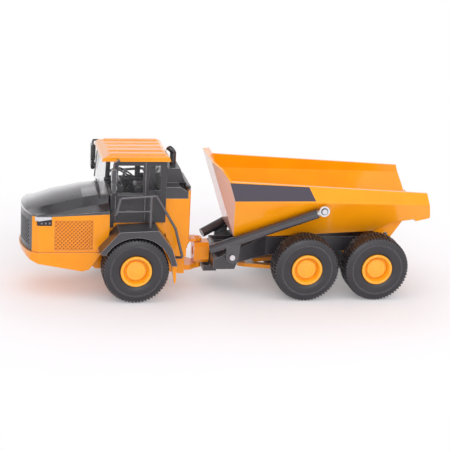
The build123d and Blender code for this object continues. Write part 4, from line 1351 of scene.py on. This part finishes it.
@dataclass
class Studio:
    """White paper, soft light and the camera at the photograph's angle."""

    # The camera: place and focal length in millimetres, rotation in degrees, nearest distance in metres
    eye: Place = (-150.1, -790.8, 270.0)
    turn: Place = (73.541, -2.755, -10.060)
    lens: float = 125.97
    clip_m: float = 0.01
    floor_m: float = 8
    # Strength of the surrounding as a light; its strength overhead in reflections, and the heights of the
    # ray between which it dims to that
    sky: float = 0.75
    ceiling: float = 0.25
    ceiling_heights: Pair = (0.15, 0.6)
    aim: Place = (0, 0, 30)
    lamps: tuple[SoftLamp, ...] = (
        SoftLamp("key_light", (-180, -260, 620), 600, 0.5),
        SoftLamp("front_light", (-40, -960, 420), 520, 3.0),
        SoftLamp("fill_light", (420, -420, 380), 420, 0.6),
        SoftLamp("back_light", (60, 420, 520), 380, 0.6),
    )

    def world(self) -> bpy.types.World:
        """Makes the surrounding: white where it is seen, white at the horizon and grey overhead where it is
        mirrored, as a sweep under a dark ceiling is, and dimmer as a light.

        Returns:
            The world.
        """
        world = bpy.data.worlds.new("studio_world")
        world.use_nodes = True
        tree = world.node_tree
        tree.nodes.clear()
        rays = node(tree, "LightPath")
        origin = node(tree, "TexCoord")
        split = node(tree, "SeparateXYZ", {}, {0: origin.outputs["Generated"]})
        low, high = self.ceiling_heights
        overhead = node(tree, "MapRange", {"interpolation_type": "SMOOTHSTEP", "From Min": low,
                                           "From Max": high, "To Min": 1.0, "To Max": self.ceiling},
                        {"Value": split.outputs["Z"]})
        seen = node(tree, "Math", {"operation": "ADD", "use_clamp": True},
                    {0: rays.outputs["Is Camera Ray"], 1: rays.outputs["Is Transmission Ray"]})
        plain = node(tree, "MapRange", {"To Min": self.sky, "To Max": 1.0}, {"Value": seen.outputs[0]})
        strength = node(tree, "Mix", {"data_type": "FLOAT"},
                        {0: rays.outputs["Is Glossy Ray"], 2: plain.outputs[0], 3: overhead.outputs[0]})
        sky = node(tree, "Background", {"Color": (1, 1, 1, 1)}, {"Strength": strength.outputs[0]})
        node(tree, "OutputWorld", {}, {"Surface": sky.outputs[0]})
        return world

    def build(self) -> None:
        """Makes the floor, the lamps, the surrounding and the camera."""
        fresh()
        bpy.ops.mesh.primitive_plane_add(size=self.floor_m)
        floor = bpy.context.object
        floor.name = "studio_floor"
        floor.data.materials.append(StudioPaper().material())
        for lamp in self.lamps:
            lamp.add(Vector(self.aim) * MM)
        bpy.context.scene.world = self.world()
        fresh()
        bpy.ops.object.camera_add(location=Vector(self.eye) * MM,
                                  rotation=[math.radians(a) for a in self.turn])
        camera = bpy.context.object
        camera.name = "photo_camera"
        camera.data.lens = self.lens
        camera.data.clip_start = self.clip_m
        bpy.context.scene.camera = camera
        bpy.context.scene.view_settings.view_transform = "Standard"


def main() -> None:
    """Dresses the frame and builds every fine piece."""
    logging.basicConfig(level=logging.INFO, format="%(message)s")
    Studio().build()
    wheels, front, cab = Wheels(), FrontUnit(), Cab()
    wheels.build()
    front.build()
    cab.build()
    for group in (front, cab, RearFrame(), Bed()):
        group.dress()


if __name__ == "__main__":
    main()
